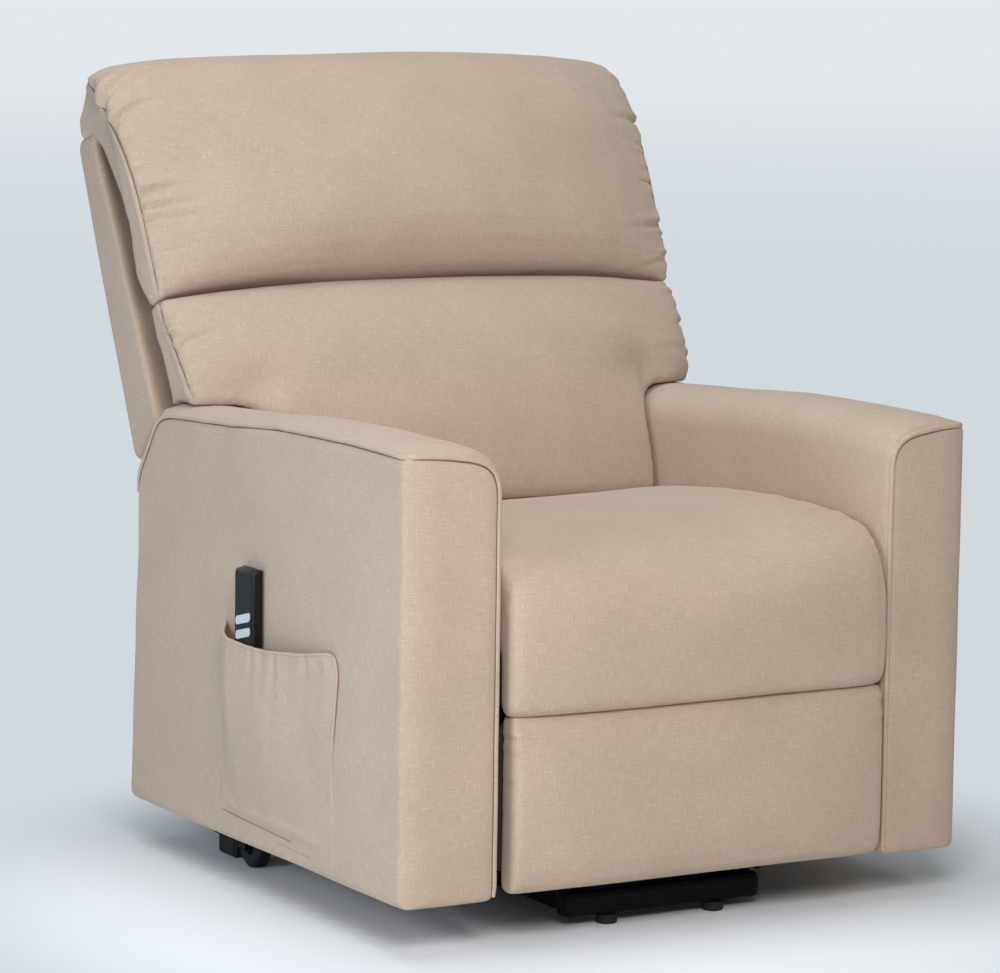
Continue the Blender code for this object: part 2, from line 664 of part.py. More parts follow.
def add_back():
    add_shell()
    add_headrest()
    add_lumbar()
    for side, word in ((1, "left"), (-1, "right")):
        low, high = on_back(SHELL_LOW - GAP, 0.022), on_back(SHELL_LOW - GAP, 0.108)
        outline = [
            (LEVER[0] - 0.013, LEVER[1] - 0.004), (LEVER[0] - 0.004, LEVER[1] - 0.013),
            (LEVER[0] + 0.008, LEVER[1] - 0.012), (LEVER[0] + 0.014, LEVER[1]),
            (BACK_HINGE[0] + 0.018, BACK_HINGE[1] - 0.010), (0.690, 0.415), low, high,
            (BACK_HINGE[0] - 0.010, BACK_HINGE[1] + 0.020), (BACK_HINGE[0] - 0.019, BACK_HINGE[1]),
        ]
        strap = plate(outline, mirrored(LAYER_2, side), [circle(BACK_HINGE, 0.0083)])
        under_low, under_high = on_back(SHELL_LOW - 0.0043, 0.022), on_back(SHELL_LOW - 0.0043, 0.108)
        shelf = plate([low, high, under_high, under_low], mirrored((LAYER_2[0] - 0.0402, LAYER_2[1] - 0.0002), side))
        place(f"back_bracket_{word}", joined(strap, shelf), "black_steel", (0.0, *BACK_HINGE))
    lever = disc(LEVER, 0.009, (-LAYER_2[0] + GAP, LAYER_2[0] - GAP))
    lug = plate(bar_outline(LEVER, LEVER_EYE, 0.011), (RECLINE_X - 0.0130, RECLINE_X - 0.0053))
    place("recline_cross_bar", joined(lever, lug), "black_steel", (0.0, *BACK_HINGE))


def add_shell():
    """The upholstered back shell: wide above the arms, narrow between them."""
    rear, full = BACK_REAR, BACK_REAR - 0.003
    wide = [(0.0060, rear + 0.006), (0.018, rear), (0.20, full), (0.40, full), (SHELL_TOP - 0.012, rear),
            (SHELL_TOP, rear + 0.010), (SHELL_TOP, 0.110), (SHELL_TOP - 0.012, BACK_FACE), (0.30, BACK_FACE),
            (0.15, BACK_FACE), (0.066, BACK_FACE), (0.054, 0.112)]
    narrow = [(SHELL_LOW, rear + 0.008), (SHELL_LOW + 0.010, rear)] + wide[2:10]
    narrow += [(SHELL_LOW + 0.010, BACK_FACE), (SHELL_LOW, 0.112)]
    stops = [(x, narrow) for x in (0.0, 0.40 * SHELL_LOW_HALF, 0.75 * SHELL_LOW_HALF, SHELL_LOW_HALF)]
    edge = SHELL_HALF - SHELL_EDGE
    step_out = [mix(SHELL_LOW_HALF, edge, share) for share in (0.50, 0.85, 1.0)]
    stops += [(x, wide) for x in (SHELL_LOW_HALF + 0.001, *step_out, SHELL_HALF)]
    sections = []
    for x, loop in [(-x, loop) for x, loop in reversed(stops[1:])] + stops:
        tuck = max(0.0, (abs(x) - edge) / SHELL_EDGE) * 0.006
        ring = []
        for s, t in loop:
            t = min(max(t, rear + tuck), BACK_FACE - tuck)
            s = min(s, SHELL_TOP - tuck) if s > 0.1 else s + tuck * (abs(x) > SHELL_LOW_HALF)
            ring.append((x, *on_back(s, t)))
        sections.append(ring)
    place("back_shell", loft(sections), "woven_fabric", (0.0, *BACK_HINGE))


def add_headrest():
    face = BACK_FACE + GAP
    top = SHELL_TOP + GAP
    edge = [(top, 0.010), (0.487, 0.019), (0.507, 0.032), (0.522, 0.047), (0.530, 0.066), (0.528, 0.088),
            (0.516, 0.110), (0.493, 0.128), (0.454, 0.141), (0.406, 0.148), (0.358, 0.152), (0.306, 0.155),
            (0.260, 0.158), (0.228, 0.160), (0.202, 0.1605), (0.190, 0.158), (0.185, 0.150), (0.184, 0.135),
            (0.184, face), (0.27, face), (0.37, face), (top, face), (top, 0.08), (top, 0.04)]
    middle = [(top, -0.008), (0.490, -0.011), (0.520, -0.007), (0.545, 0.012), (0.559, 0.047), (0.561, 0.090),
              (0.551, 0.132), (0.525, 0.166), (0.482, 0.192), (0.427, 0.208), (0.368, 0.217), (0.310, 0.223),
              (0.266, 0.224), (0.237, 0.219), (0.220, 0.206), (0.212, 0.188), (0.209, 0.166), (0.207, 0.145),
              (0.207, face), (0.27, face), (0.37, face), (top, face), (top, 0.08), (top, 0.04)]
    sections = []
    for x in both_ways(STATIONS, CUSHION_HALF):
        bulge, flat = crown(x / CUSHION_HALF, 2.4, 0.62), crown(x / CUSHION_HALF, 6.0, 0.60)
        ring = []
        for (s, t), (p, q) in zip(edge, middle):
            height = mix(s, p, mix(bulge, flat, min(1.0, max(0.0, (s - 0.25) / 0.20))))
            wider = 1.0 + 0.040 * min(1.0, max(0.0, (s - 0.20) / 0.25)) * min(1.0, max(0.0, (t - 0.05) / 0.06))
            ring.append((x * wider, *on_back(height, mix(t, q, bulge))))
        sections.append(ring)
    place("headrest_cushion", loft(sections), "woven_fabric", (0.0, *BACK_HINGE))


def lumbar_front(s, x):
    """How far forward the lumbar cushion stands at height s and width x."""
    middle = level(((-0.136, 0.222), (-0.11, 0.231), (-0.06, 0.237), (-0.02, 0.239), (0.02, 0.237),
                    (0.06, 0.232), (0.095, 0.225), (0.128, 0.215), (0.156, 0.203)), s)
    edge = level(((-0.12, 0.150), (0.04, 0.176), (0.07, 0.178), (0.10, 0.175), (0.13, 0.171), (0.156, 0.167)), s)
    return mix(edge, middle, crown(x / CUSHION_HALF, 2.4, 0.62))


def wing_floor(t, x):
    """The lowest s at which a wing of the back still clears the rounded top and the rear cut of an arm."""
    short = min(1.0, max(0.0, 1.0 - (abs(x) - INNER) / ARM_ROUND))
    drop = ARM_ROUND * (1.0 - (1.0 - short * short) ** 0.5)
    over_top = WING_OVER - drop - BACK_ROOT[1] - t * sin(BACK_LEAN)
    past_cut = WING_PAST - drop - sum(BACK_ROOT) + t * (cos(BACK_LEAN) - sin(BACK_LEAN))
    return min(over_top / cos(BACK_LEAN), past_cut / (cos(BACK_LEAN) + sin(BACK_LEAN)))


def lumbar_section(x, wing):
    """A loop of the lumbar cushion: the wings end above the arms, the middle runs down to the seat."""
    face = BACK_FACE + GAP
    share = crown(x / CUSHION_HALF, 2.4, 0.62)
    head = mix(0.1795, 0.2015, share)
    upper = lumbar_front(0.156, x)
    loop = [(head, face), (head, mix(face, upper, 0.45)), (head - 0.004, mix(face, upper, 0.74)),
            (head - 0.014, mix(face, upper, 0.92))]
    loop += [(s, lumbar_front(s, x)) for s in (0.154, 0.130, 0.105, 0.080, 0.060)]
    front = loop[-1][1]
    if wing:
        for part in (0.95, 0.86, 0.74, 0.62, 0.50, 0.40, 0.30, 0.20, 0.10, 0.0):
            t = mix(face, front, part)
            loop.append((wing_floor(t, x) + 0.06 * max(0.0, part - 0.84), t))
    else:
        loop += [(s, lumbar_front(s, x)) for s in (0.020, -0.020, -0.062, -0.100, -0.124)]
        front = loop[-1][1]
        under = ((-0.1345, 0.90), (-0.1360, 0.78), (-0.1260, 0.45), (-0.1120, 0.20), (-0.0985, 0.0))
        loop += [(s, mix(face, front, part)) for s, part in under]
    loop += [(mix(loop[-1][0], head, part), face) for part in (0.35, 0.70)]
    outward = 0.010 * max(0.0, abs(x) - INNER) / (CUSHION_HALF - INNER) * (1 if x > 0 else -1)
    narrower = [outward * min(1.0, max(0.0, (0.15 - s) / 0.11)) for s, _ in loop]
    return [(x - less, *on_back(s, t)) for (s, t), less in zip(loop, narrower)]


def add_lumbar():
    low = [x for x in both_ways((0.0, 0.25, 0.5, 0.72, 0.88, 0.97, 1.0), LUMBAR_LOW_HALF)]
    wings = [mix(INNER, CUSHION_HALF, u) for u in (0.04, 0.09, 0.17, 0.33, 0.52, 0.70, 0.84, 0.93, 0.98, 1.0)]
    wings = [LUMBAR_LOW_HALF + 0.0012] + wings
    sections = [lumbar_section(-x, True) for x in reversed(wings)]
    sections += [lumbar_section(x, False) for x in low]
    sections += [lumbar_section(x, True) for x in wings]
    place("lumbar_cushion", loft(sections), "woven_fabric", (0.0, *BACK_HINGE))


def crossing_point():
    return (mix(LINK_C[0], LINK_E[0], CROSSING), mix(LINK_C[1], LINK_E[1], CROSSING))


def push_radius():
    """Where on the rear link the push rod sits, so that its length is the same at both ends of the range."""
    def reach(radius, back_turn, link_turn):
        a = radians(-back_turn)
        dy, dz = LEVER[0] - BACK_HINGE[0], LEVER[1] - BACK_HINGE[1]
        end = (BACK_HINGE[0] + dy * cos(a) - dz * sin(a), BACK_HINGE[1] + dy * sin(a) + dz * cos(a))
        b = atan2(LINK_C[1] - LINK_A[1], LINK_C[0] - LINK_A[0]) - radians(link_turn)
        pin = (LINK_A[0] + radius * cos(b), LINK_A[1] + radius * sin(b))
        return hypot(end[0] - pin[0], end[1] - pin[1])
    low, high = 0.015, 0.080
    for _ in range(40):
        radius = (low + high) / 2
        if reach(radius, 0.0, 0.0) > reach(radius, BACK_RANGE, REAR_TURN):
            low = radius
        else:
            high = radius
    return radius


def push_pin():
    angle = atan2(LINK_C[1] - LINK_A[1], LINK_C[0] - LINK_A[0])
    radius = push_radius()
    return (LINK_A[0] + radius * cos(angle), LINK_A[1] + radius * sin(angle))


def add_footrest():
    pin = push_pin()
    for side, word in ((1, "left"), (-1, "right")):
        rear = plate(bar_outline(LINK_A, LINK_C, 0.011), mirrored(LAYER_1, side), [circle(LINK_A, 0.0063)])
        elbow_pin = disc(LINK_C, 0.005, mirrored((LAYER_2[0] - 0.0012, LAYER_1[0] + 0.0018), side))
        rod_pin = disc(pin, 0.005, mirrored((LAYER_3[1] + 0.0004, LAYER_1[0] + 0.0018), side))
        place(f"foot_rear_link_{word}", joined(rear, elbow_pin, rod_pin), "zinc_steel", (0.0, *LINK_A))
        front = plate(
            bar_outline(LINK_B, crossing_point(), 0.008), mirrored(LAYER_1, side), [circle(LINK_B, 0.0053)]
        )
        place(f"foot_front_link_{word}", front, "zinc_steel", (0.0, *LINK_B))
        long_link = plate(
            bar_outline(LINK_C, LINK_E, 0.011), mirrored(LAYER_2, side),
            [circle(LINK_C, 0.0053), circle(LINK_E, 0.0053)],
        )
        place(f"foot_long_link_{word}", long_link, "zinc_steel", (0.0, *LINK_C))
        push = plate(bar_outline(LEVER, pin, 0.0125), mirrored(LAYER_3, side), [circle(LEVER, 0.0093)])
        place(f"push_rod_{word}", push, "zinc_steel", (0.0, *LEVER))
        ear = plate(
            [(0.0456, 0.140), (0.056, 0.140), (0.080, 0.176), (0.081, 0.192), (0.070, 0.203), (0.0456, 0.230)],
            mirrored(LAYER_3, side),
        )
        foot = box(
            (min(side * 0.214, side * LAYER_3[1]), 0.0456, 0.128), (max(side * 0.214, side * LAYER_3[1]), 0.0490, 0.240)
        )
        end_pin = disc(LINK_E, 0.005, mirrored((LAYER_3[1] - 0.0012, LAYER_2[1] + 0.0006), side))
        place(f"foot_bracket_{word}", joined(foot, ear, end_pin), "black_steel", (0.0, *LINK_E))
    place("foot_board", box((-BOARD_HALF, 0.0303, 0.092), (BOARD_HALF, 0.0453, 0.274)), "timber", (0.0, *LINK_E))
    add_foot_pad()


def add_foot_pad():
    edge = [(FOOT_BACK, 0.078), (FOOT_BACK, 0.18), (FOOT_BACK, 0.278), (0.024, 0.2835), (0.012, 0.2840),
            (0.003, 0.281), (-0.003, 0.272), (-0.006, 0.250), (-0.007, 0.215), (-0.007, 0.180), (-0.007, 0.141),
            (-0.006, 0.106), (-0.003, 0.085), (0.003, 0.076), (0.012, 0.072), (0.024, 0.0725)]
    middle = [(FOOT_BACK, 0.076), (FOOT_BACK, 0.18), (FOOT_BACK, 0.280), (0.024, 0.2855), (0.010, FOOT_HIGH),
              (-0.003, 0.283), (-0.012, 0.275), (-0.0175, 0.254), (-0.0195, 0.218), (-0.020, 0.180),
              (-0.0195, 0.139), (-0.0175, 0.100), (-0.012, 0.080), (-0.003, 0.072), (0.010, FOOT_LOW),
              (0.024, 0.0705)]
    sections = []
    for x in both_ways(STATIONS, FOOT_HALF):
        share = crown(x / FOOT_HALF, 4.5, 0.5)
        sections.append([(x, mix(a, p, share), mix(b, q, share)) for (a, b), (p, q) in zip(edge, middle)])
    place("foot_pad", loft(sections), "woven_fabric", (0.0, *LINK_E))


def build():
    clear_scene()
    add_base()
    add_lift()
    add_frame()
    add_seat()
    add_arms()
    add_pocket()
    add_handset()
    add_back()
    add_footrest()


if __name__ == "__main__":
    build()
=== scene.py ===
"""Upholstery, finishes and studio for a power lift recliner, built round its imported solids.

The file is laid out as an add-on: sizes and colours are properties, and each piece is an operator.
"""
from math import cos, pi, radians, sin

import bmesh
import bpy
import numpy as np
from bpy.props import FloatProperty, PointerProperty, StringProperty
from mathutils import Matrix, Vector, noise
from mathutils.bvhtree import BVHTree
from mathutils.kdtree import KDTree


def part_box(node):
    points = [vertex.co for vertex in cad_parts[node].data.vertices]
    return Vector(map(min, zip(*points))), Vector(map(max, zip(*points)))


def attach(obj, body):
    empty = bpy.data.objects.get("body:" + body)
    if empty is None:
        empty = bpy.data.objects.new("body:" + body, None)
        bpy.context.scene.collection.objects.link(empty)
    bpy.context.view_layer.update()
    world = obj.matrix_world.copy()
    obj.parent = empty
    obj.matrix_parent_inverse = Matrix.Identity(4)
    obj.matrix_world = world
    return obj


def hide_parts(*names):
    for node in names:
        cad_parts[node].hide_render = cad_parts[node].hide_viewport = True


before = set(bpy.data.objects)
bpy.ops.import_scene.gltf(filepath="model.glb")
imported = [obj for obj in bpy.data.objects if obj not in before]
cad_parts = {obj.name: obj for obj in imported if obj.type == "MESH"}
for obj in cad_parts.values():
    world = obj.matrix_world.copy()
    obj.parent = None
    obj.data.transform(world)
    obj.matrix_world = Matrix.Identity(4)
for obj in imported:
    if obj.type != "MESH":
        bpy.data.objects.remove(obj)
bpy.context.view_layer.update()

bl_info = {
    "name": "Lift Recliner Dressing",
    "version": (1, 0, 0),
    "blender": (4, 5, 0),
    "location": "View3D > Sidebar > Recliner",
    "description": "Upholstery, piping, pocket, handset, finishes and studio for a power lift recliner",
    "category": "Object",
}

# Fixed by the solids: the middle plane, the front of the arms, and the frame of the leaning back
MIDDLE = (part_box("arm_right")[0].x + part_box("arm_left")[1].x) / 2
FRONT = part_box("arm_left")[0].y
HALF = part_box("arm_left")[1].x - MIDDLE
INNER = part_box("arm_left")[0].x - MIDDLE
SEAT_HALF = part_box("seat_cushion")[1].x - MIDDLE
FOOT_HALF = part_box("foot_pad")[1].x - MIDDLE
ARM_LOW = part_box("arm_left")[0].z
LEAN = radians(24.0)
BACK_ROOT = (FRONT + 0.780, 0.513)
# Step of the line that the weave is measured along, and how much a point's facing counts beside its place
WEAVE_STEP = 0.002
FACING_SHARE = 0.07
# Cloth that swells: light points so that the pressure carries them, a stiff weave, and no gravity
SWELL = {
    "quality": 4, "mass": 0.004, "air_damping": 3.0, "tension_stiffness": 12.0,
    "compression_stiffness": 12.0, "shear_stiffness": 4.0, "bending_stiffness": 2.0,
    "use_pressure": True, "vertex_group_mass": "held",
}
SWELL_FRAMES = 20
# Rounds that even out the movement, and how far from a held point the cloth is fully free
EVEN_ROUNDS = 16
HELD_REACH = 0.06


def linear(code):
    """An sRGB hex colour as linear red, green and blue."""
    parts = [int(code.lstrip("#")[i:i + 2], 16) / 255 for i in (0, 2, 4)]
    return [c / 12.92 if c <= 0.04045 else ((c + 0.055) / 1.055) ** 2.4 for c in parts]


def colour(code):
    return (*linear(code), 1.0)


def hue(name, text, code):
    return StringProperty(name=name, description=text + ", as an sRGB hex value", default=code)


def size(name, text, value):
    return FloatProperty(name=name, description=text, default=value, subtype="DISTANCE", unit="LENGTH")


class ReclinerColours(bpy.types.PropertyGroup):
    """Colours of the recliner's finishes."""
    cloth: hue("Cloth", "Middle tone of the woven cover", "#BDA894")
    cloth_dark: hue("Dark threads", "Darker threads of the weave", "#AF9C87")
    cloth_light: hue("Light threads", "Lighter threads of the weave", "#D1BEA9")
    # Painted shade: this dark tone is laid as thin lines in the seams and along the pocket's edges and fold,
    # standing in for the shade of those gaps
    thread: hue("Seam", "Sewing thread sunk in a seam", "#75634F")
    black: hue("Black", "Powder coat of the steelwork", "#0C0C0E")
    # Painted shade: the zinc plate is toned dark grey so that links seen in the gaps read as black as the
    # shade there
    zinc: hue("Zinc", "Zinc plating of links and rods", "#2E3033")
    # Painted shade: the plywood is toned near black so that rails seen through gaps read as the shade there
    timber: hue("Timber", "Dark stained plywood of rails and board", "#2B2622")
    rubber: hue("Rubber", "Moulded rubber of feet and tyres", "#191A1C")
    slate: hue("Handset face", "Satin face of the handset", "#14171B")
    button: hue("Buttons", "Soft buttons of the handset", "#C9D0D4")
    floor: hue("Floor", "Studio floor", "#F2F5F8")
    backdrop: hue("Backdrop", "Studio background", "#D1D9DF")
    backdrop_top: hue("Upper backdrop", "Studio background far off", "#E3E7EB")


class ReclinerSizes(bpy.types.PropertyGroup):
    """Sizes of the upholstery that a user may change."""
    voxel: size("Skin grid", "Grid of the upholstery's skin before its last subdivision", 0.007)
    welt: size("Piping radius", "Radius of the piping on the arms", 0.0034)
    # Radius of the dark seam lines, which are painted shade of the seams
    seam: size("Seam radius", "Radius of the thread that shows in a seam", 0.0006)
    seam_edge: size("Seam inset", "Distance of the side seams from a cushion's end", 0.0055)
    pocket_sheet: size("Pocket cloth", "Thickness of the pocket's cloth", 0.0016)
    hem: size("Hem radius", "Radius of the pocket's rolled hem", 0.0022)


# Small tools

def add_node(tree, kind, settings=None, **links):
    """A shader node with its settings; each link names an input and gives a value or an output."""
    made = tree.nodes.new("ShaderNode" + kind)
    for key, value in (settings or {}).items():
        setattr(made, key, value)
    for key, value in links.items():
        numbered = key[0] == "i" and key[1:].isdigit()
        socket = made.inputs[int(key[1:]) if numbered else key.replace("_", " ")]
        if isinstance(value, bpy.types.NodeSocket):
            tree.links.new(value, socket)
        else:
            socket.default_value = value
    return made


def new_piece(name, bm, *materials):
    """An object at the origin from a bmesh."""
    mesh = bpy.data.meshes.new(name)
    bm.to_mesh(mesh)
    bm.free()
    return new_object(name, mesh, *materials)


def new_object(name, mesh, *materials):
    mesh.name = name
    made = bpy.data.objects.new(name, mesh)
    bpy.context.scene.collection.objects.link(made)
    mesh.materials.clear()
    for material in materials:
        mesh.materials.append(material)
    return made


def settle(made):
    """Applies every modifier of an object."""
    graph = bpy.context.evaluated_depsgraph_get()
    mesh = bpy.data.meshes.new_from_object(made.evaluated_get(graph))
    made.modifiers.clear()
    old = made.data
    made.data = mesh
    bpy.data.meshes.remove(old)
    mesh.name = made.name


def modify(made, kind, **settings):
    """Adds a modifier with its settings and applies it."""
    step = made.modifiers.new(kind.lower(), kind)
    for key, value in settings.items():
        setattr(step, key, value)
    settle(made)


def smooth_shade(made):
    made.data.polygons.foreach_set("use_smooth", [True] * len(made.data.polygons))


def get_points(made):
    points = np.empty(len(made.data.vertices) * 3)
    made.data.vertices.foreach_get("co", points)
    return points.reshape(-1, 3)


def get_normals(made):
    normals = np.empty(len(made.data.vertices) * 3, np.float32)
    made.data.vertex_normals.foreach_get("vector", normals)
    return normals.reshape(-1, 3).astype(float)


def set_points(made, points):
    made.data.vertices.foreach_set("co", np.ascontiguousarray(points, np.float32).ravel())
    made.data.update()


def merged_copy(node):
    """A bmesh of a solid's shape with its loose triangles joined."""
    bm = bmesh.new()
    bm.from_mesh(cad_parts[node].data)
    bmesh.ops.remove_doubles(bm, verts=bm.verts, dist=1e-5)
    return bm


def skin_of(name, node, voxel, rounds, *materials):
    """A closed quad skin in the shape of a solid, eased by some rounds of smoothing."""
    made = new_piece(name, merged_copy(node), *materials)
    modify(made, "REMESH", mode="VOXEL", voxel_size=voxel)
    ease(made, rounds)
    return made


def ease(made, rounds):
    bm = bmesh.new()
    bm.from_mesh(made.data)
    for _ in range(rounds):
        bmesh.ops.smooth_vert(
            bm, verts=bm.verts, factor=0.5, use_axis_x=True, use_axis_y=True, use_axis_z=True
        )
    bm.to_mesh(made.data)
    bm.free()


def refine(made):
    modify(made, "SUBSURF", levels=1, render_levels=1)
    smooth_shade(made)


def puff(made, held, pressure, shrink, cap):
    """Draws a pad in, then swells it by cloth simulation.

    Held points stay, shrink is how far the rest is drawn in, and cap the most a point moves.
    """
    scene = bpy.context.scene
    points = get_points(made)
    fixed = np.flatnonzero(held)
    tree = KDTree(len(fixed))
    for i in fixed:
        tree.insert(points[i], int(i))
    tree.balance()
    free = np.array([min(1.0, tree.find(p)[2] / HELD_REACH) for p in points])
    push(made, -shrink * free * free * (3 - 2 * free))
    start = get_points(made)
    group = made.vertex_groups.new(name="held")
    group.add([int(i) for i in fixed], 1.0, "ADD")
    step = made.modifiers.new("swell", "CLOTH")
    for key, value in SWELL.items():
        setattr(step.settings, key, value)
    step.settings.uniform_pressure_force = pressure
    step.settings.effector_weights.gravity = 0.0
    step.collision_settings.use_collision = False
    step.point_cache.frame_start = 1
    step.point_cache.frame_end = SWELL_FRAMES
    for number in range(1, SWELL_FRAMES + 1):
        scene.frame_set(number)
    move = get_points(made.evaluated_get(bpy.context.evaluated_depsgraph_get())) - start
    far = np.linalg.norm(move, axis=1)
    move *= np.minimum(1.0, cap / np.maximum(far, 1e-9))[:, None]
    made.modifiers.clear()
    made.vertex_groups.clear()
    # Tight cloth keeps no small wrinkles: the movement is evened out over neighbouring points
    total = start + move - points
    pairs = np.empty(len(made.data.edges) * 2, np.int32)
    made.data.edges.foreach_get("vertices", pairs)
    ends = np.concatenate([pairs[0::2], pairs[1::2]])
    others = np.concatenate([pairs[1::2], pairs[0::2]])
    count = np.bincount(ends, minlength=len(points))
    for _ in range(EVEN_ROUNDS):
        around = [np.bincount(ends, total[others, k], len(points)) / count for k in range(3)]
        total = (total + np.stack(around, axis=1)) / 2
        total[fixed] = 0.0
    set_points(made, points + total)
    scene.frame_set(1)


def push(made, amount):
    """Moves each point along its own normal, in metres."""
    set_points(made, get_points(made) + get_normals(made) * amount[:, None])


def ripple(points, grain, seed):
    """Smooth uneven values from about -1 to 1, one for each point; grain is a wave's size in metres."""
    shift = Vector((seed * 7.31, seed * 3.17, seed * 5.03))
    return np.array([noise.noise(Vector(p) / grain + shift) for p in points])


def back_frame(points):
    """Heights up the leaning back and distances forward from its rear face."""
    dy, dz = points[:, 1] - BACK_ROOT[0], points[:, 2] - BACK_ROOT[1]
    return dy * sin(LEAN) + dz * cos(LEAN), -dy * cos(LEAN) + dz * sin(LEAN)


def on_back(x, s, t):
    return (x, BACK_ROOT[0] + s * sin(LEAN) - t * cos(LEAN), BACK_ROOT[1] + s * cos(LEAN) + t * sin(LEAN))


def rising(value, start, length):
    """0 up to the start, growing to 1 over a length."""
    return np.clip((value - start) / length, 0.0, 1.0)


def falling(value, end, length):
    """0 from the end on, and growing to 1 over a length before it."""
    return np.clip((end - value) / length, 0.0, 1.0)


def bell(offset, width):
    """A smooth hump of height 1."""
    return np.exp(-(offset / width) ** 2)


def block(size, middle):
    """A bmesh of a box."""
    bm = bmesh.new()
    bmesh.ops.create_cube(bm, size=1.0)
    bmesh.ops.scale(bm, verts=bm.verts, vec=size)
    bmesh.ops.translate(bm, verts=bm.verts, vec=middle)
    return bm


def bevel(bm, edges, offset, segments):
    bmesh.ops.bevel(
        bm, geom=edges, offset=offset, offset_type="OFFSET", affect="EDGES", segments=segments,
        profile=0.5, material=-1
    )


# Seams

def plane_lines(made, place, normal):
    """The lines in which a plane cuts a piece, each an ordered list of points."""
    bm = bmesh.new()
    bm.from_mesh(made.data)
    found = bmesh.ops.bisect_plane(
        bm, geom=bm.verts[:] + bm.edges[:] + bm.faces[:], dist=1e-7, plane_co=place, plane_no=normal
    )
    cut = [e for e in found["geom_cut"] if isinstance(e, bmesh.types.BMEdge)]
    near = {}
    for edge in cut:
        for vert in edge.verts:
            near.setdefault(vert, []).append(edge.other_vert(vert))
    lines, used = [], set()
    for start in near:
        if start in used:
            continue
        line, here = [start], start
        used.add(start)
        while True:
            ahead = [v for v in near[here] if v not in used]
            if not ahead:
                break
            here = ahead[0]
            used.add(here)
            line.append(here)
        lines.append(np.array([v.co for v in line]))
    bm.free()
    return sorted(lines, key=len, reverse=True)


def kept_run(line, mask):
    """The longest stretch of a closed line whose points are to be kept, in order."""
    if mask.all():
        return line
    first = int(np.flatnonzero(~mask)[0])
    line, mask = np.roll(line, -first, axis=0), np.roll(mask, -first)
    runs, now = [], []
    for point, good in zip(line, mask):
        if good:
            now.append(point)
        elif now:
            runs.append(now)
            now = []
    runs.append(now)
    return np.array(max(runs, key=len))


def even_path(line, step, rounds=2):
    """A line with evenly spaced, eased points."""
    line = np.asarray(line, float)
    for _ in range(rounds):
        line[1:-1] = (line[:-2] + 2 * line[1:-1] + line[2:]) / 4
    gaps = np.linalg.norm(np.diff(line, axis=0), axis=1)
    place = np.concatenate([[0.0], np.cumsum(gaps)])
    wanted = np.linspace(0.0, place[-1], max(2, int(place[-1] / step)))
    return np.stack([np.interp(wanted, place, line[:, k]) for k in range(3)], axis=1)


def off_line(points, line):
    """For each point, its distance to a line and how far along the line that nearest spot is."""
    tree = KDTree(len(line))
    for i, p in enumerate(line):
        tree.insert(p, i)
    tree.balance()
    found = [tree.find(p) for p in points]
    place = np.concatenate([[0.0], np.cumsum(np.linalg.norm(np.diff(line, axis=0), axis=1))])
    return np.array([f[2] for f in found]), place[[f[1] for f in found]]


def snapped(made, path, lift):
    """A path laid on a piece's surface, lifted off it by some metres."""
    tree = BVHTree.FromObject(made, bpy.context.evaluated_depsgraph_get())
    laid = []
    for point in path:
        spot, normal, _, _ = tree.find_nearest(Vector(point))
        laid.append(spot + normal * lift)
    return np.array(laid)


def tube(name, paths, radius, material, sides=3):
    """Round piping or thread along one or more paths, as one mesh."""
    curve = bpy.data.curves.new(name, "CURVE")
    curve.dimensions = "3D"
    curve.bevel_depth = radius
    curve.bevel_resolution = sides
    curve.use_fill_caps = True
    for path in paths:
        line = curve.splines.new("POLY")
        line.points.add(len(path) - 1)
        line.points.foreach_set("co", np.hstack([path, np.ones((len(path), 1))]).ravel())
    holder = bpy.data.objects.new(name, curve)
    bpy.context.scene.collection.objects.link(holder)
    graph = bpy.context.evaluated_depsgraph_get()
    mesh = bpy.data.meshes.new_from_object(holder.evaluated_get(graph))
    bpy.data.objects.remove(holder)
    bpy.data.curves.remove(curve)
    made = new_object(name, mesh, material)
    smooth_shade(made)
    return made


def crease_field(away, along, places):
    """Creases that run off a seam: place along it, depth, width, length and slant; a valley under a lip."""
    field = np.zeros(len(away))
    for place, depth, width, length, slant in places:
        across = (along - place - slant * away) / width
        fade = np.exp(-(away / length) ** 1.5)
        field += depth * fade * (0.7 * bell(across + 1.4, 1.3) - bell(across, 0.9))
    return field


def crease_places(total, spacing, depth, seed):
    """Uneven places for creases along a seam of some length."""
    draw = np.random.default_rng(seed)
    places, here = [], spacing * draw.uniform(0.3, 0.9)
    while here < total - spacing * 0.3:
        places.append((
            here, depth * draw.uniform(0.35, 1.25), draw.uniform(0.0035, 0.0070),
            draw.uniform(0.016, 0.052), draw.uniform(-0.35, 0.35),
        ))
        here += spacing * draw.uniform(0.55, 1.5)
    return places


def ease_in(value):
    """A smooth step from 0 to 1."""
    value = min(1.0, max(0.0, value))
    return value * value * (3 - 2 * value)


def path_length(path):
    return np.linalg.norm(np.diff(path, axis=0), axis=1).sum()


def along_at(path, point):
    """How far along a path its nearest spot to a point is."""
    return off_line(np.array([point]), path)[1][0]


def beside(line, inset):
    """A line in a plane moved sideways, to the left of its own direction."""
    line = np.array(line)
    way = np.gradient(line, axis=0)
    way /= np.linalg.norm(way, axis=1)[:, None]
    return line + inset * np.stack([-way[:, 1], way[:, 0]], axis=1)


def add_slab(bm, outline, inner, outer):
    """Adds a slab that stands across x, with an outline given on the leaning back."""
    face = bm.faces.new([bm.verts.new(on_back(inner, s, t)) for s, t in outline])
    grown = bmesh.ops.extrude_face_region(bm, geom=[face])["geom"]
    ends = [v for v in grown if isinstance(v, bmesh.types.BMVert)]
    bmesh.ops.translate(bm, verts=ends, vec=(outer - inner, 0.0, 0.0))
    bmesh.ops.recalc_face_normals(bm, faces=list({f for v in ends for f in v.link_faces} | {face}))


def corners(made):
    """The point of each face corner."""
    found = np.empty(len(made.data.loops), np.int32)
    made.data.loops.foreach_get("vertex_index", found)
    return found


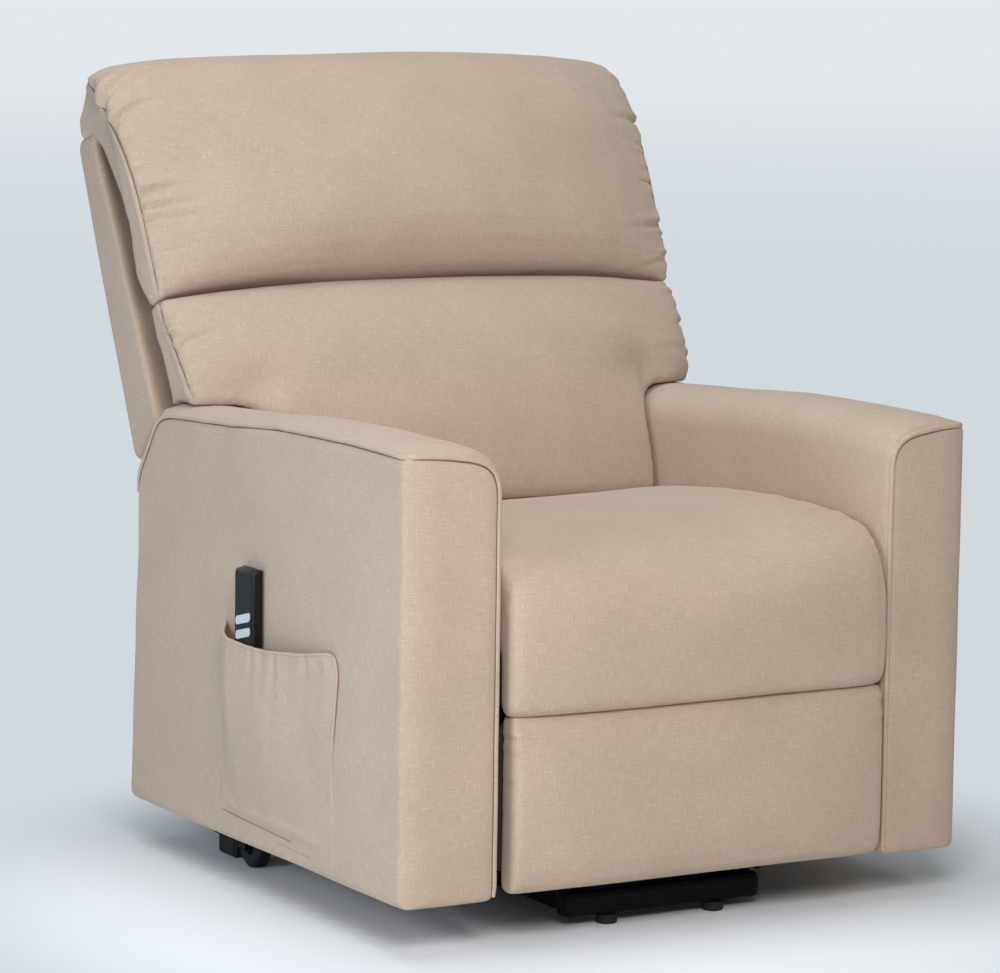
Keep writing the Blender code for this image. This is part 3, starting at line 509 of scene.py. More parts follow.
def set_weave(made, uv):
    """Writes the UV map that the cloth's threads follow, in metres, one row for each face corner."""
    layer = made.data.uv_layers.new(name="weave")
    layer.data.foreach_set("uv", np.ascontiguousarray(uv, np.float32).ravel())


def lay_along(made, path):
    """A weave map for a tube: metres along its path, and round it."""
    points = get_points(made)
    around = points[:, 2] + points[:, 0]
    set_weave(made, np.stack([off_line(points, path)[1], around], axis=1)[corners(made)])


def weave_map(made, axis):
    """A weave map that follows the cloth: along one axis, and round the middle section across it."""
    points = get_points(made)
    middle = (points.min(0) + points.max(0)) / 2
    normal = Vector((0.0, 0.0, 0.0))
    normal[axis] = 1.0
    line = plane_lines(made, Vector(middle), normal)[0]
    others = [k for k in range(3) if k != axis]
    start = int(np.argmax(line[:, 1])) if axis == 0 else int(np.argmin(line[:, 2]))
    line = even_path(np.roll(line, -start, axis=0), WEAVE_STEP, 0)
    way = np.gradient(line, axis=0)
    way /= np.linalg.norm(way, axis=1)[:, None]
    flat = line.copy()
    flat[:, axis] = 0.0
    laid = points.copy()
    laid[:, axis] = 0.0
    # A point takes the place on the section that is near and faces the same way
    outward = np.stack([-way[:, others[1]], way[:, others[0]]], axis=1)
    facing = get_normals(made)[:, others]
    centre = line[:, others].mean(0)
    if ((line[:, others] - centre) * outward).sum() < 0:
        outward = -outward
    marks = np.hstack([line[:, others], FACING_SHARE * outward])
    spots = np.hstack([points[:, others], FACING_SHARE * facing])
    square = (marks ** 2).sum(1)
    nearest = np.concatenate([
        np.argmin(square - 2 * spots[i:i + 8000] @ marks.T, axis=1) for i in range(0, len(spots), 8000)
    ])
    along = nearest * WEAVE_STEP + ((laid - flat[nearest]) * way[nearest]).sum(1)
    wrap = np.stack([points[:, axis], along], axis=1)
    mesh, corner = made.data, corners(made)
    facing = np.empty(len(mesh.polygons) * 3, np.float32)
    mesh.polygons.foreach_get("normal", facing)
    ends = np.abs(facing.reshape(-1, 3)[:, axis]) > 0.75
    total = np.empty(len(mesh.polygons), np.int32)
    mesh.polygons.foreach_get("loop_total", total)
    set_weave(made, np.where(np.repeat(ends, total)[:, None], points[corner][:, others], wrap[corner]))


# Finishes

def start_material(name):
    material = bpy.data.materials.new(name)
    material.use_nodes = True
    material.node_tree.nodes.clear()
    return material, material.node_tree


def close_material(material, shader):
    """Joins a material's last shader to its surface."""
    add_node(material.node_tree, "OutputMaterial", Surface=shader.outputs[0])
    return material


def maths(tree, operation, first, second):
    """The output of a node that joins two values."""
    return add_node(tree, "Math", {"operation": operation}, i0=first, i1=second).outputs[0]


def ramp(tree, value, *stops):
    """The output of a colour ramp: each stop is a place and a colour, in order."""
    made = add_node(tree, "ValToRGB", Fac=value)
    elements = made.color_ramp.elements
    for element, (place, tone) in zip(elements, (stops[0], stops[-1])):
        element.position = place
        element.color = tone
    for place, tone in stops[1:-1]:
        elements.new(place).color = tone
    return made.outputs[0]


def cloth_material(name, colours):
    """Polyester woven to look like linen: a quiet ground with sparse light slubs both ways, matt."""
    material, tree = start_material(name)
    place = add_node(tree, "UVMap", {"uv_map": "weave"})
    # Threads of 0.6 mm are drawn 1.4 mm wide so that they show in the render; slubs run on for about 18 mm
    runs = []
    for long, thick, seed in ((1 / 0.018, 1 / 0.0014, 0.0), (1 / 0.0014, 1 / 0.018, 37.0)):
        laid = add_node(
            tree, "Mapping", Vector=place.outputs[0], Location=(seed, seed, 0.0), Scale=(long, thick, 1.0)
        )
        run = add_node(tree, "TexNoise", Vector=laid.outputs[0], Scale=1.0, Detail=2.0, Roughness=0.6)
        runs.append(run.outputs[0])
    half = maths(tree, "MULTIPLY", maths(tree, "ADD", *runs), 0.5)
    top = maths(tree, "MAXIMUM", *runs)
    slub = add_node(tree, "MapRange", i0=top, i1=0.62, i2=0.76, i3=0.0, i4=0.42)
    spread = add_node(tree, "MapRange", i0=half, i1=0.34, i2=0.66, i3=0.10, i4=0.62)
    tone = ramp(
        tree, maths(tree, "ADD", spread.outputs[0], slub.outputs[0]), (0.0, colour(colours.cloth_dark)),
        (0.4, colour(colours.cloth)), (1.0, colour(colours.cloth_light))
    )
    # Patches of slightly different dye, about 90 mm across
    solid_place = add_node(tree, "TexCoord")
    patch = add_node(tree, "TexNoise", Vector=solid_place.outputs["Object"], Scale=1 / 0.09, Detail=1.0)
    shade = add_node(tree, "MapRange", i0=patch.outputs[0], i1=0.3, i2=0.7, i3=0.97, i4=1.03)
    tint = add_node(tree, "VectorMath", {"operation": "SCALE"}, Vector=tone, Scale=shade.outputs[0])
    bump = add_node(tree, "Bump", Strength=0.30, Distance=0.0010, Height=half)
    shader = add_node(
        tree, "BsdfPrincipled", Base_Color=tint.outputs[0], Roughness=0.92, Sheen_Weight=0.15,
        Sheen_Roughness=0.6, Normal=bump.outputs[0], Specular_IOR_Level=0.2
    )
    return close_material(material, shader)


def plain_material(name, code, rough, metal, grain, bump_size, uneven=0.12, shine=0.3):
    """A paint, plating, moulding or plastic: a fine unevenness in tone and gloss, and a slight relief."""
    material, tree = start_material(name)
    place = add_node(tree, "TexCoord")
    fine = add_node(tree, "TexNoise", Vector=place.outputs["Object"], Scale=1 / grain, Detail=3.0)
    wide = add_node(tree, "TexNoise", Vector=place.outputs["Object"], Scale=1 / 0.045, Detail=2.0)
    base = np.array(linear(code))
    dark, light = base * (1 - uneven), np.minimum(base * (1 + uneven), 1.0)
    tone = ramp(tree, wide.outputs[0], (0.3, (*dark, 1.0)), (0.7, (*light, 1.0)))
    gloss = add_node(
        tree, "MapRange", i0=fine.outputs[0], i1=0.3, i2=0.7, i3=rough * 0.85, i4=rough * 1.15
    )
    bump = add_node(tree, "Bump", Strength=0.3, Distance=bump_size, Height=fine.outputs[0])
    shader = add_node(
        tree, "BsdfPrincipled", Base_Color=tone, Roughness=gloss.outputs[0],
        Metallic=metal, Normal=bump.outputs[0], Specular_IOR_Level=shine
    )
    return close_material(material, shader)


def timber_material(name, code):
    """Plywood toned near black as painted shade, so that gaps stay dark: long grain along x with darker late
    wood, dull.
    """
    material, tree = start_material(name)
    place = add_node(tree, "TexCoord")
    # Grain lines about 3 mm apart and 90 mm long
    laid = add_node(
        tree, "Mapping", Vector=place.outputs["Object"], Scale=(1 / 0.09, 1 / 0.003, 1 / 0.003)
    )
    grain = add_node(tree, "TexNoise", Vector=laid.outputs[0], Scale=1.0, Detail=4.0, Distortion=0.4)
    base = np.array(linear(code))
    tone = ramp(tree, grain.outputs[0], (0.35, (*(base * 0.72), 1.0)), (0.65, (*base, 1.0)))
    bump = add_node(tree, "Bump", Strength=0.3, Distance=0.0006, Height=grain.outputs[0])
    shader = add_node(tree, "BsdfPrincipled", Base_Color=tone, Roughness=0.7, Normal=bump.outputs[0])
    return close_material(material, shader)


def finish(name):
    """A finish by name, made the first time it is asked for."""
    made = bpy.data.materials.get(name)
    if made:
        return made
    c = bpy.context.scene.recliner_colours
    makers = {
        "woven_polyester": lambda: cloth_material(name, c),
        # Painted shade: a dull tone darker than the cover, drawn as thin lines where seams, pocket edges and
        # the pocket's fold fall into shade
        "painted_seam_shade": lambda: plain_material(name, c.thread, 0.85, 0.0, 0.0012, 0.0003),
        # Epoxy powder coat on steel: black with a slight orange peel and a soft shine
        "powder_coated_steel": lambda: plain_material(
            name, c.black, 0.40, 0.0, 0.0030, 0.00006, shine=0.07
        ),
        # Zinc-plated pressed steel, toned dark grey as painted shade so that links in the gaps read black; a
        # faint bloom
        "shade_dark_zinc_steel": lambda: plain_material(name, c.zinc, 0.38, 1.0, 0.0020, 0.0001),
        "shade_dark_plywood": lambda: timber_material(name, c.timber),
        # Moulded rubber: near black, dull and faintly pitted
        "moulded_rubber": lambda: plain_material(name, c.rubber, 0.75, 0.0, 0.0018, 0.0003),
        # Injection-moulded ABS with a spark texture
        "moulded_abs": lambda: plain_material(name, c.black, 0.36, 0.0, 0.0010, 0.0001),
        # Satin soft-touch face of the handset
        "soft_touch_abs": lambda: plain_material(name, c.slate, 0.5, 0.0, 0.0012, 0.0001),
        # Silicone rubber keys: pale grey and dull
        "silicone_keys": lambda: plain_material(name, c.button, 0.55, 0.0, 0.0015, 0.0001, 0.03),
    }
    return makers[name]()


class PieceOperator:
    """What every operator of this file shares."""
    bl_options = {"REGISTER", "UNDO"}

    @property
    def sizes(self):
        return bpy.context.scene.recliner_sizes

    @property
    def colours(self):
        return bpy.context.scene.recliner_colours

    def execute(self, context):
        self.build(context)
        return {"FINISHED"}

    def cloth(self, made, body, node=None, fill=None):
        """Parents a piece of upholstery to its moving body and hides the solid that it stands in for."""
        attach(made, body)
        if node:
            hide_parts(node)


class RECLINER_OT_arms(PieceOperator, bpy.types.Operator):
    """Upholsters both arms and pipes their edges."""
    bl_idname = "recliner.arms"
    bl_label = "Arms"

    # The piped edge up the rear slant and forward along the outer side: distance from the front, height
    SIDE_EDGE = (
        (0.7620, 0.4840), (0.7432, 0.5094), (0.7217, 0.5404), (0.7003, 0.5720), (0.6843, 0.5880),
        (0.6640, 0.5960), (0.6365, 0.6000), (0.5634, 0.6035), (0.4617, 0.6083), (0.3246, 0.6185),
        (0.1472, 0.6205), (0.0300, 0.6185),
    )
    # Its way over the front and down the inner edge: distance from the middle, height
    FRONT_EDGE = (
        (0.3700, 0.6170), (0.3259, 0.6100), (0.3080, 0.6030), (0.2960, 0.5900), (0.2905, 0.5700),
        (0.2895, 0.5340), (0.2895, 0.4048), (0.2895, 0.2965), (0.2900, 0.1441), (0.2900, 0.0650),
    )
    # The outer front corner: how far it reaches in across the front and back along the side
    CORNER = (0.046, 0.014)
    # How far the padding stands out of the outer side, and along +x at the inner front edge: left, right
    OUTER = {1: 0.0045, -1: 0.0030}
    INNER_FRONT = {1: 0.0030, -1: 0.0105}
    # The handset's middle, from the front, and how deep the piping and the seam are pressed in beside it
    HANDSET_Y = 0.3955
    SINK_PIPING, SINK_SEAM = 0.0034, 0.0010
    # The dark line under the piping, painted shade of the seam there: its distance and its radius
    SEAM_INSET, SEAM_RADIUS = 0.0044, 0.0011

    def build(self, context):
        for side, word in ((1, "left"), (-1, "right")):
            arm = f"arm_{word}"
            made = skin_of(f"{arm}_cover", arm, self.sizes.voxel, 2, finish("woven_polyester"))
            refine(made)
            self.soften(made, side)
            weave_map(made, 1)
            path = even_path(snapped(made, self.edge(side, 0.0), 0.0010), 0.005, 3)
            self.sink(path, side, self.SINK_PIPING)
            welt = tube(f"{arm}_piping", [path], self.sizes.welt, finish("woven_polyester"))
            lay_along(welt, path)
            # A dark line beside the piping stands in for the shade in its seam: painted shade
            path = even_path(snapped(made, self.edge(side, self.SEAM_INSET), 0.0003), 0.005, 3)
            self.sink(path, side, self.SINK_SEAM)
            line = tube(f"{arm}_seam", [path], self.SEAM_RADIUS, finish("painted_seam_shade"))
            self.cloth(made, "chair", arm, 1.0)
            self.cloth(welt, "chair")
            self.cloth(line, "chair")

    def sink(self, path, side, depth):
        """Presses the piped edge of the pocket arm in where the handset is drawn past it."""
        if side < 0:
            far = np.abs(path[:, 1] - FRONT - self.HANDSET_Y)
            path[:, 0] += depth * falling(far, 0.075, 0.040) * (path[:, 2] > 0.58)

    def soften(self, made, side):
        """A rounder outer front corner and the slight unevenness of padded cloth."""
        points = get_points(made)
        wide, long = self.CORNER
        out = (points[:, 0] - MIDDLE) * side - HALF + wide
        deep = points[:, 1] - FRONT - long
        corner = (out > 0) & (deep < 0)
        past = np.maximum(np.hypot(out / wide, deep / long), 1e-9)
        pull = np.where(corner, np.minimum(1.0, 1.0 / past), 1.0)
        points[:, 0] += side * out * (pull - 1.0)
        points[:, 1] += deep * (pull - 1.0)
        # The padding stands a little proud of the frame at the rear, outside and along the inner front edge
        deep = points[:, 1] - FRONT
        share = np.clip(((points[:, 0] - MIDDLE) * side - INNER) / (HALF - INNER), 0.0, 1.0)
        points[:, 0] += side * self.OUTER[side] * share
        points[:, 0] += self.INNER_FRONT[side] * (1 - share) * bell(deep, 0.07)
        points[:, 1] += 0.0110 * rising(deep, 0.40, 0.36)
        set_points(made, points)
        push(made, 0.0010 * ripple(points, 0.11, 3 + side) - 0.0002)

    def edge(self, side, inset):
        """The piped edge, or a line beside it on the side and front panel."""
        grown, moved = self.OUTER[side], self.INNER_FRONT[side]
        wide, long = self.CORNER
        path = [(MIDDLE + side * (HALF + grown), FRONT + y, z) for y, z in beside(self.SIDE_EDGE, inset)]
        for angle in np.linspace(0.1, 0.9, 6) * pi / 2:
            x, y = HALF + grown - wide * (1 - cos(angle)), long * (1 - sin(angle))
            path.append((MIDDLE + side * x, FRONT + y - 0.001, 0.6180 - inset))
        for x, z in beside(self.FRONT_EDGE, inset):
            share = min(1.0, max(0.0, (x - INNER) / (HALF - INNER)))
            path.append((MIDDLE + side * x + moved * (1 - share), FRONT - 0.001, z))
        return even_path(path, 0.006, 0)


class RECLINER_OT_seat(PieceOperator, bpy.types.Operator):
    """Makes the seat cushion with its waterfall front."""
    bl_idname = "recliner.seat"
    bl_label = "Seat cushion"

    # How far the left and the right end sit over to the left
    SHIFT = (0.0090, 0.0150)
    # How far the crest is lower than the solid's, across the seat from right to left
    CREST_AT, CREST = (-1.0, -0.5, 0.0, 0.35, 0.75), (0.0055, 0.0062, 0.0052, 0.0042, 0.0)

    def build(self, context):
        made = skin_of("seat_cushion_cover", "seat_cushion", self.sizes.voxel, 2, finish("woven_polyester"))
        points = get_points(made)
        wide = np.abs(points[:, 0] - MIDDLE)
        deep, high = points[:, 1] - FRONT, points[:, 2]
        held = (high < 0.375) & (deep > 0.02) | (wide > SEAT_HALF - 0.010) | (high < 0.300) | (deep > 0.535)
        puff(made, held, 5.0, 0.004, 0.012)
        refine(made)
        self.set_over(made)
        for side, spacing, depth in ((1, 0.050, 0.0016), (-1, 0.030, 0.0026)):
            self.pucker(made, side, spacing, depth)
        push(made, 0.0014 * ripple(get_points(made), 0.16, 9))
        weave_map(made, 0)
        self.cloth(made, "chair", "seat_cushion", 0.75)

    def set_over(self, made):
        """The cushion sits a little to one side, with a gap at the right arm, and its left end is fuller."""
        points = get_points(made)
        share = (points[:, 0] - MIDDLE) / SEAT_HALF
        deep = np.maximum(0.0, points[:, 1] - FRONT)
        near, fore = bell(deep, 0.45), bell(deep, 0.05)
        points[:, 0] += near * np.where(share > 0, *self.SHIFT) * np.abs(share)
        points[:, 2] += 0.0085 * near * rising(share, 0.35, 0.5) * rising(points[:, 2], 0.40, 0.06)
        # The lower front reaches down to the foot pad
        points[:, 2] -= 0.0058 * fore * falling(points[:, 2], 0.335, 0.04)
        points[:, 2] -= np.interp(share, self.CREST_AT, self.CREST) * rising(points[:, 2], 0.46, 0.03)
        set_points(made, points)

    def pucker(self, made, side, spacing, depth):
        """Small gathers where the top cloth is sewn to the end panel."""
        place = MIDDLE + side * (SEAT_HALF - self.sizes.seam_edge)
        line = plane_lines(made, (place, 0.0, 0.0), (1.0, 0.0, 0.0))[0]
        deep = line[:, 1] - FRONT
        line = kept_run(line, ((line[:, 2] > 0.385) | (deep < 0.020)) & (deep < 0.52))
        path = even_path(line, 0.003)
        points = get_points(made)
        away, along = off_line(points, path)
        places = crease_places(path_length(path), spacing, depth, 21 + side)
        push(made, -0.0008 * bell(away, 0.0040) + crease_field(away, along, places))


class RECLINER_OT_footrest(PieceOperator, bpy.types.Operator):
    """Makes the padded footrest panel."""
    bl_idname = "recliner.footrest"
    bl_label = "Footrest pad"

    # How far the left and the right end sit over to the left
    SHIFT = (0.0085, 0.0190)
    # Creases down each end: place, depth, width, length, slant
    CREASES = (
        (0.020, 0.0030, 0.0050, 0.035, 0.3), (0.045, 0.0024, 0.0050, 0.030, 0.1),
        (0.082, 0.0014, 0.0060, 0.030, 0.0), (0.125, 0.0011, 0.0070, 0.030, 0.0),
    )

    def build(self, context):
        made = skin_of("foot_pad_cover", "foot_pad", 0.005, 1, finish("woven_polyester"))
        points = get_points(made)
        wide = np.abs(points[:, 0] - MIDDLE)
        deep = points[:, 1] - FRONT
        held = (deep > 0.012) | (wide > FOOT_HALF - 0.008)
        puff(made, held, 4.0, 0.003, 0.008)
        refine(made)
        points = get_points(made)
        share = (points[:, 0] - MIDDLE) / FOOT_HALF
        points[:, 0] += np.where(share > 0, *self.SHIFT) * np.abs(share)
        # The padding fills out the top and the bottom edge
        points[:, 2] += 0.0058 * rising(points[:, 2], 0.245, 0.04)
        points[:, 2] -= 0.0065 * falling(points[:, 2], 0.130, 0.06)
        set_points(made, points)
        for side, strength in ((1, 0.5), (-1, 1.0)):
            end = MIDDLE + side * (FOOT_HALF + 0.002)
            edge = np.array([(end, FRONT, z) for z in np.linspace(0.288, 0.07, 60)])
            away, along = off_line(get_points(made), edge)
            push(made, crease_field(away, along, self.CREASES) * strength)
        push(made, 0.0010 * ripple(get_points(made), 0.12, 14))
        weave_map(made, 0)
        self.cloth(made, "footrest", "foot_pad", 0.7)


class BackOperator(PieceOperator):
    """What the cushions of the back share."""

    # Small puckers along a side seam, and folds along the left one: spacing, depth
    PUCKERS, LEFT_FOLDS = (0.022, 0.0034), (0.046, 0.0050)

    def sew(self, made, half, seed):
        """Sinks the side seams between crisp lips, gathers the cloth and returns the paths of the dark lines
        that are painted as the seams' shade.
        """
        paths = []
        for side in (1, -1):
            rough = [on_back(MIDDLE + side * half, s, t) for s, t in self.SEAM]
            path = even_path(snapped(made, even_path(rough, 0.003, 4), 0.0), 0.003, 4)
            points = get_points(made)
            away, along = off_line(points, path)
            fine = crease_places(path_length(path), *self.PUCKERS, seed + side)
            fine = [(p, d, w * 0.75, length * 0.45, k) for p, d, w, length, k in fine]
            if side < 0:
                shown = [(along_at(path, on_back(MIDDLE - half, s, t)), *rest) for s, t, *rest in self.FOLDS]
            else:
                shown = crease_places(path_length(path), *self.LEFT_FOLDS, seed + 7)
            lips = 0.0026 * bell(away, 0.0095) - 0.0046 * bell(away, 0.0036)
            # Only the panel ahead of the seam is gathered
            s, t = back_frame(points)
            seam_s, seam_t = back_frame(path)
            order = np.argsort(seam_s)
            ahead = t - np.interp(s, seam_s[order], seam_t[order])
            inward = np.clip(away / 0.007, 0.2, 1.0) * rising(ahead, -0.002, 0.004)
            push(made, lips + (crease_field(away, along, fine) + crease_field(away, along, shown)) * inward)
            paths.append(path)
        return [even_path(snapped(made, path, 0.0003), 0.004, 3) for path in paths]

    def cover(self, made, name, shade_threads):
        """Lays the weave, makes the dark seam lines of painted shade and parents the cushion and these lines
        to the back.
        """
        weave_map(made, 0)
        thread = tube(f"{name}_seams", shade_threads, self.sizes.seam, finish("painted_seam_shade"))
        self.cloth(made, "backrest", f"{name}_cushion", 0.8)
        self.cloth(thread, "backrest")


class RECLINER_OT_headrest(BackOperator, bpy.types.Operator):
    """Makes the headrest cushion with its gathered side seams and the flaps that wrap the shell."""
    bl_idname = "recliner.headrest"
    bl_label = "Headrest cushion"

    # Side seam and rear edge of the side flap: height up the back, distance forward from its rear face
    SEAM = (
        (0.5330, 0.0640), (0.5325, 0.0794), (0.5056, 0.1006), (0.4724, 0.1314), (0.4393, 0.1445),
        (0.3934, 0.1518), (0.3527, 0.1600), (0.3179, 0.1620), (0.2675, 0.1612), (0.2290, 0.1578),
        (0.1968, 0.1572),
    )
    FLAP = (
        (0.4638, 0.0176), (0.4576, 0.0529), (0.4314, 0.0738), (0.3953, 0.0886), (0.3534, 0.1045),
        (0.3027, 0.1167), (0.2725, 0.1116), (0.2348, 0.1081), (0.2057, 0.1205), (0.1930, 0.1400),
        (0.3000, 0.1500), (0.4200, 0.1320), (0.4900, 0.0950), (0.5050, 0.0500), (0.4950, 0.0176),
    )
    # The flaps' inner and outer face, from the middle
    FLAP_X = (0.3905, 0.4030)
    GRID = 0.006
    # Folds that run in from the seam: place on it, depth, width, length, slant
    FOLDS = (
        (0.4724, 0.1314, 0.0125, 0.0085, 0.046, -0.60), (0.4393, 0.1445, 0.0080, 0.0060, 0.046, -0.25),
        (0.3330, 0.1610, 0.0068, 0.0046, 0.044, 0.00), (0.3130, 0.1620, 0.0066, 0.0046, 0.044, 0.06),
        (0.2960, 0.1620, 0.0040, 0.0055, 0.060, 0.05), (0.4050, 0.1500, 0.0026, 0.0060, 0.030, 0.0),
        (0.2450, 0.1590, 0.0014, 0.0070, 0.030, 0.0), (0.5100, 0.0970, 0.0030, 0.0060, 0.030, 0.0),
    )

    def build(self, context):
        bm = merged_copy("headrest_cushion")
        for side in (1, -1):
            add_slab(bm, self.FLAP, *(MIDDLE + side * x for x in self.FLAP_X))
        made = new_piece("headrest_cover", bm, finish("woven_polyester"))
        modify(made, "REMESH", mode="VOXEL", voxel_size=self.GRID)
        ease(made, 2)
        points = get_points(made)
        s, t = back_frame(points)
        wide = np.abs(points[:, 0] - MIDDLE)
        held = (t < 0.130) & (s < 0.50) | (wide > 0.392) | (s < 0.205) & (t < 0.16) | (t < 0.02)
        puff(made, held, 8.0, 0.004, 0.022)
        refine(made)
        points = get_points(made)
        s = back_frame(points)[0]
        across = points[:, 0] - MIDDLE
        # The top is highest a little to the left of the middle, and the left end is fuller
        crown = 0.0042 * bell(across - 0.07, 0.13)
        lower = (0.0012 * falling(across, 0.30, 0.25) - crown) * rising(s, 0.44, 0.08)
        points[:, 1] -= lower * sin(LEAN)
        points[:, 2] -= lower * cos(LEAN)
        points[:, 0] += 0.0055 * rising(across, 0.20, 0.18) * falling(s, 0.45, 0.10)
        set_points(made, points)
        shade_threads = self.sew(made, 0.404, 40)
        push(made, 0.0018 * ripple(get_points(made), 0.15, 5))
        self.cover(made, "headrest", shade_threads)


class RECLINER_OT_lumbar(BackOperator, bpy.types.Operator):
    """Makes the lumbar cushion with wings over the arms."""
    bl_idname = "recliner.lumbar"
    bl_label = "Lumbar cushion"

    # Side seam and its folds, as for the headrest
    SEAM = ((0.1850, 0.1480), (0.1698, 0.1528), (0.1137, 0.1649), (0.0614, 0.1751), (0.0400, 0.1790))
    FOLDS = (
        (0.1380, 0.1590, 0.0062, 0.0050, 0.022, -0.7), (0.1300, 0.1610, 0.0062, 0.0045, 0.022, 0.5),
        (0.1060, 0.1660, 0.0056, 0.0050, 0.034, -0.2), (0.0800, 0.1715, 0.0012, 0.0060, 0.026, 0.0),
        (0.0560, 0.1760, 0.0012, 0.0060, 0.026, 0.0),
    )

    def build(self, context):
        made = skin_of("lumbar_cover", "lumbar_cushion", self.sizes.voxel, 2, finish("woven_polyester"))
        points = get_points(made)
        s, t = back_frame(points)
        wide = np.abs(points[:, 0] - MIDDLE)
        held = (t < 0.130) | (wide > 0.382) | (wide > SEAT_HALF - 0.006) & (s < 0.10) | (s < -0.09)
        puff(made, held, 6.0, 0.004, 0.022)
        refine(made)
        shade_threads = self.sew(made, 0.394, 60)
        points = get_points(made)
        s = back_frame(points)[0]
        wide = np.abs(points[:, 0] - MIDDLE)
        # The pull of the cloth where each wing turns over its arm
        ahead = np.clip(-get_normals(made)[:, 1] * 1.6, 0.0, 1.0)
        pit = np.exp(-((wide - 0.300) / 0.040) ** 2 - ((s - 0.050) / 0.030) ** 2) * ahead
        push(made, 0.0014 * ripple(points, 0.15, 6) - 0.0095 * pit)
        points = get_points(made)
        # The top reaches up under the headrest
        rise = 0.0030 * rising(s, 0.150, 0.030)
        points[:, 1] += rise * sin(LEAN)
        points[:, 2] += rise * cos(LEAN)
        # The wings rest on the arms
        points[:, 2] -= 0.0055 * rising(wide, 0.288, 0.012) * falling(s, 0.075, 0.05)
        # The left end is a little fuller
        points[:, 0] += 0.0045 * rising(points[:, 0] - MIDDLE, 0.24, 0.14) * rising(s, 0.03, 0.02)
        set_points(made, points)
        self.cover(made, "lumbar", shade_threads)


class RECLINER_OT_back_shell(PieceOperator, bpy.types.Operator):
    """Upholsters the shell behind the back cushions."""
    bl_idname = "recliner.back_shell"
    bl_label = "Back shell"

    # The side rim: height up the back, distance forward; and how deep the hollow inside it is
    RIM = ((0.030, 0.079), (0.190, 0.066), (0.400, 0.046), (0.452, 0.042), (0.466, 0.080))
    TROUGH_DEPTH = 0.005
    GRID = 0.006

    def build(self, context):
        made = new_piece("back_shell_cover", merged_copy("back_shell"), finish("woven_polyester"))
        for side in (1, -1):
            bm = bmesh.new()
            self.trough(bm, side)
            cutter = new_piece("trough", bm)
            modify(made, "BOOLEAN", operation="DIFFERENCE", object=cutter, solver="EXACT")
            bpy.data.meshes.remove(cutter.data)
        modify(made, "REMESH", mode="VOXEL", voxel_size=self.GRID)
        ease(made, 2)
        refine(made)
        # The padding of the rear stands a little proud
        points = get_points(made)
        points[:, 1] += 0.0040 * falling(back_frame(points)[1], 0.050, 0.030)
        set_points(made, points)
        push(made, 0.0010 * ripple(points, 0.14, 8))
        weave_map(made, 0)
        self.cloth(made, "backrest", "back_shell", 1.0)

    def trough(self, bm, side):
        """The hollow between the shell's side rim and the cushions: rings of corners up the back, joined."""
        rings = []
        for s, rim in self.RIM:
            low = rim - self.TROUGH_DEPTH
            ring = (
                (0.420, rim), (0.3850, rim), (0.3760, low), (0.300, low), (0.285, 0.150), (0.420, 0.150)
            )
            rings.append([bm.verts.new(on_back(MIDDLE + side * x, s, t)) for x, t in ring])
        for below, above in zip(rings, rings[1:]):
            for i in range(6):
                j = (i + 1) % 6
                bm.faces.new((below[i], below[j], above[j], above[i]))
        bm.faces.new(rings[0])
        bm.faces.new(rings[-1])
        bmesh.ops.recalc_face_normals(bm, faces=bm.faces)


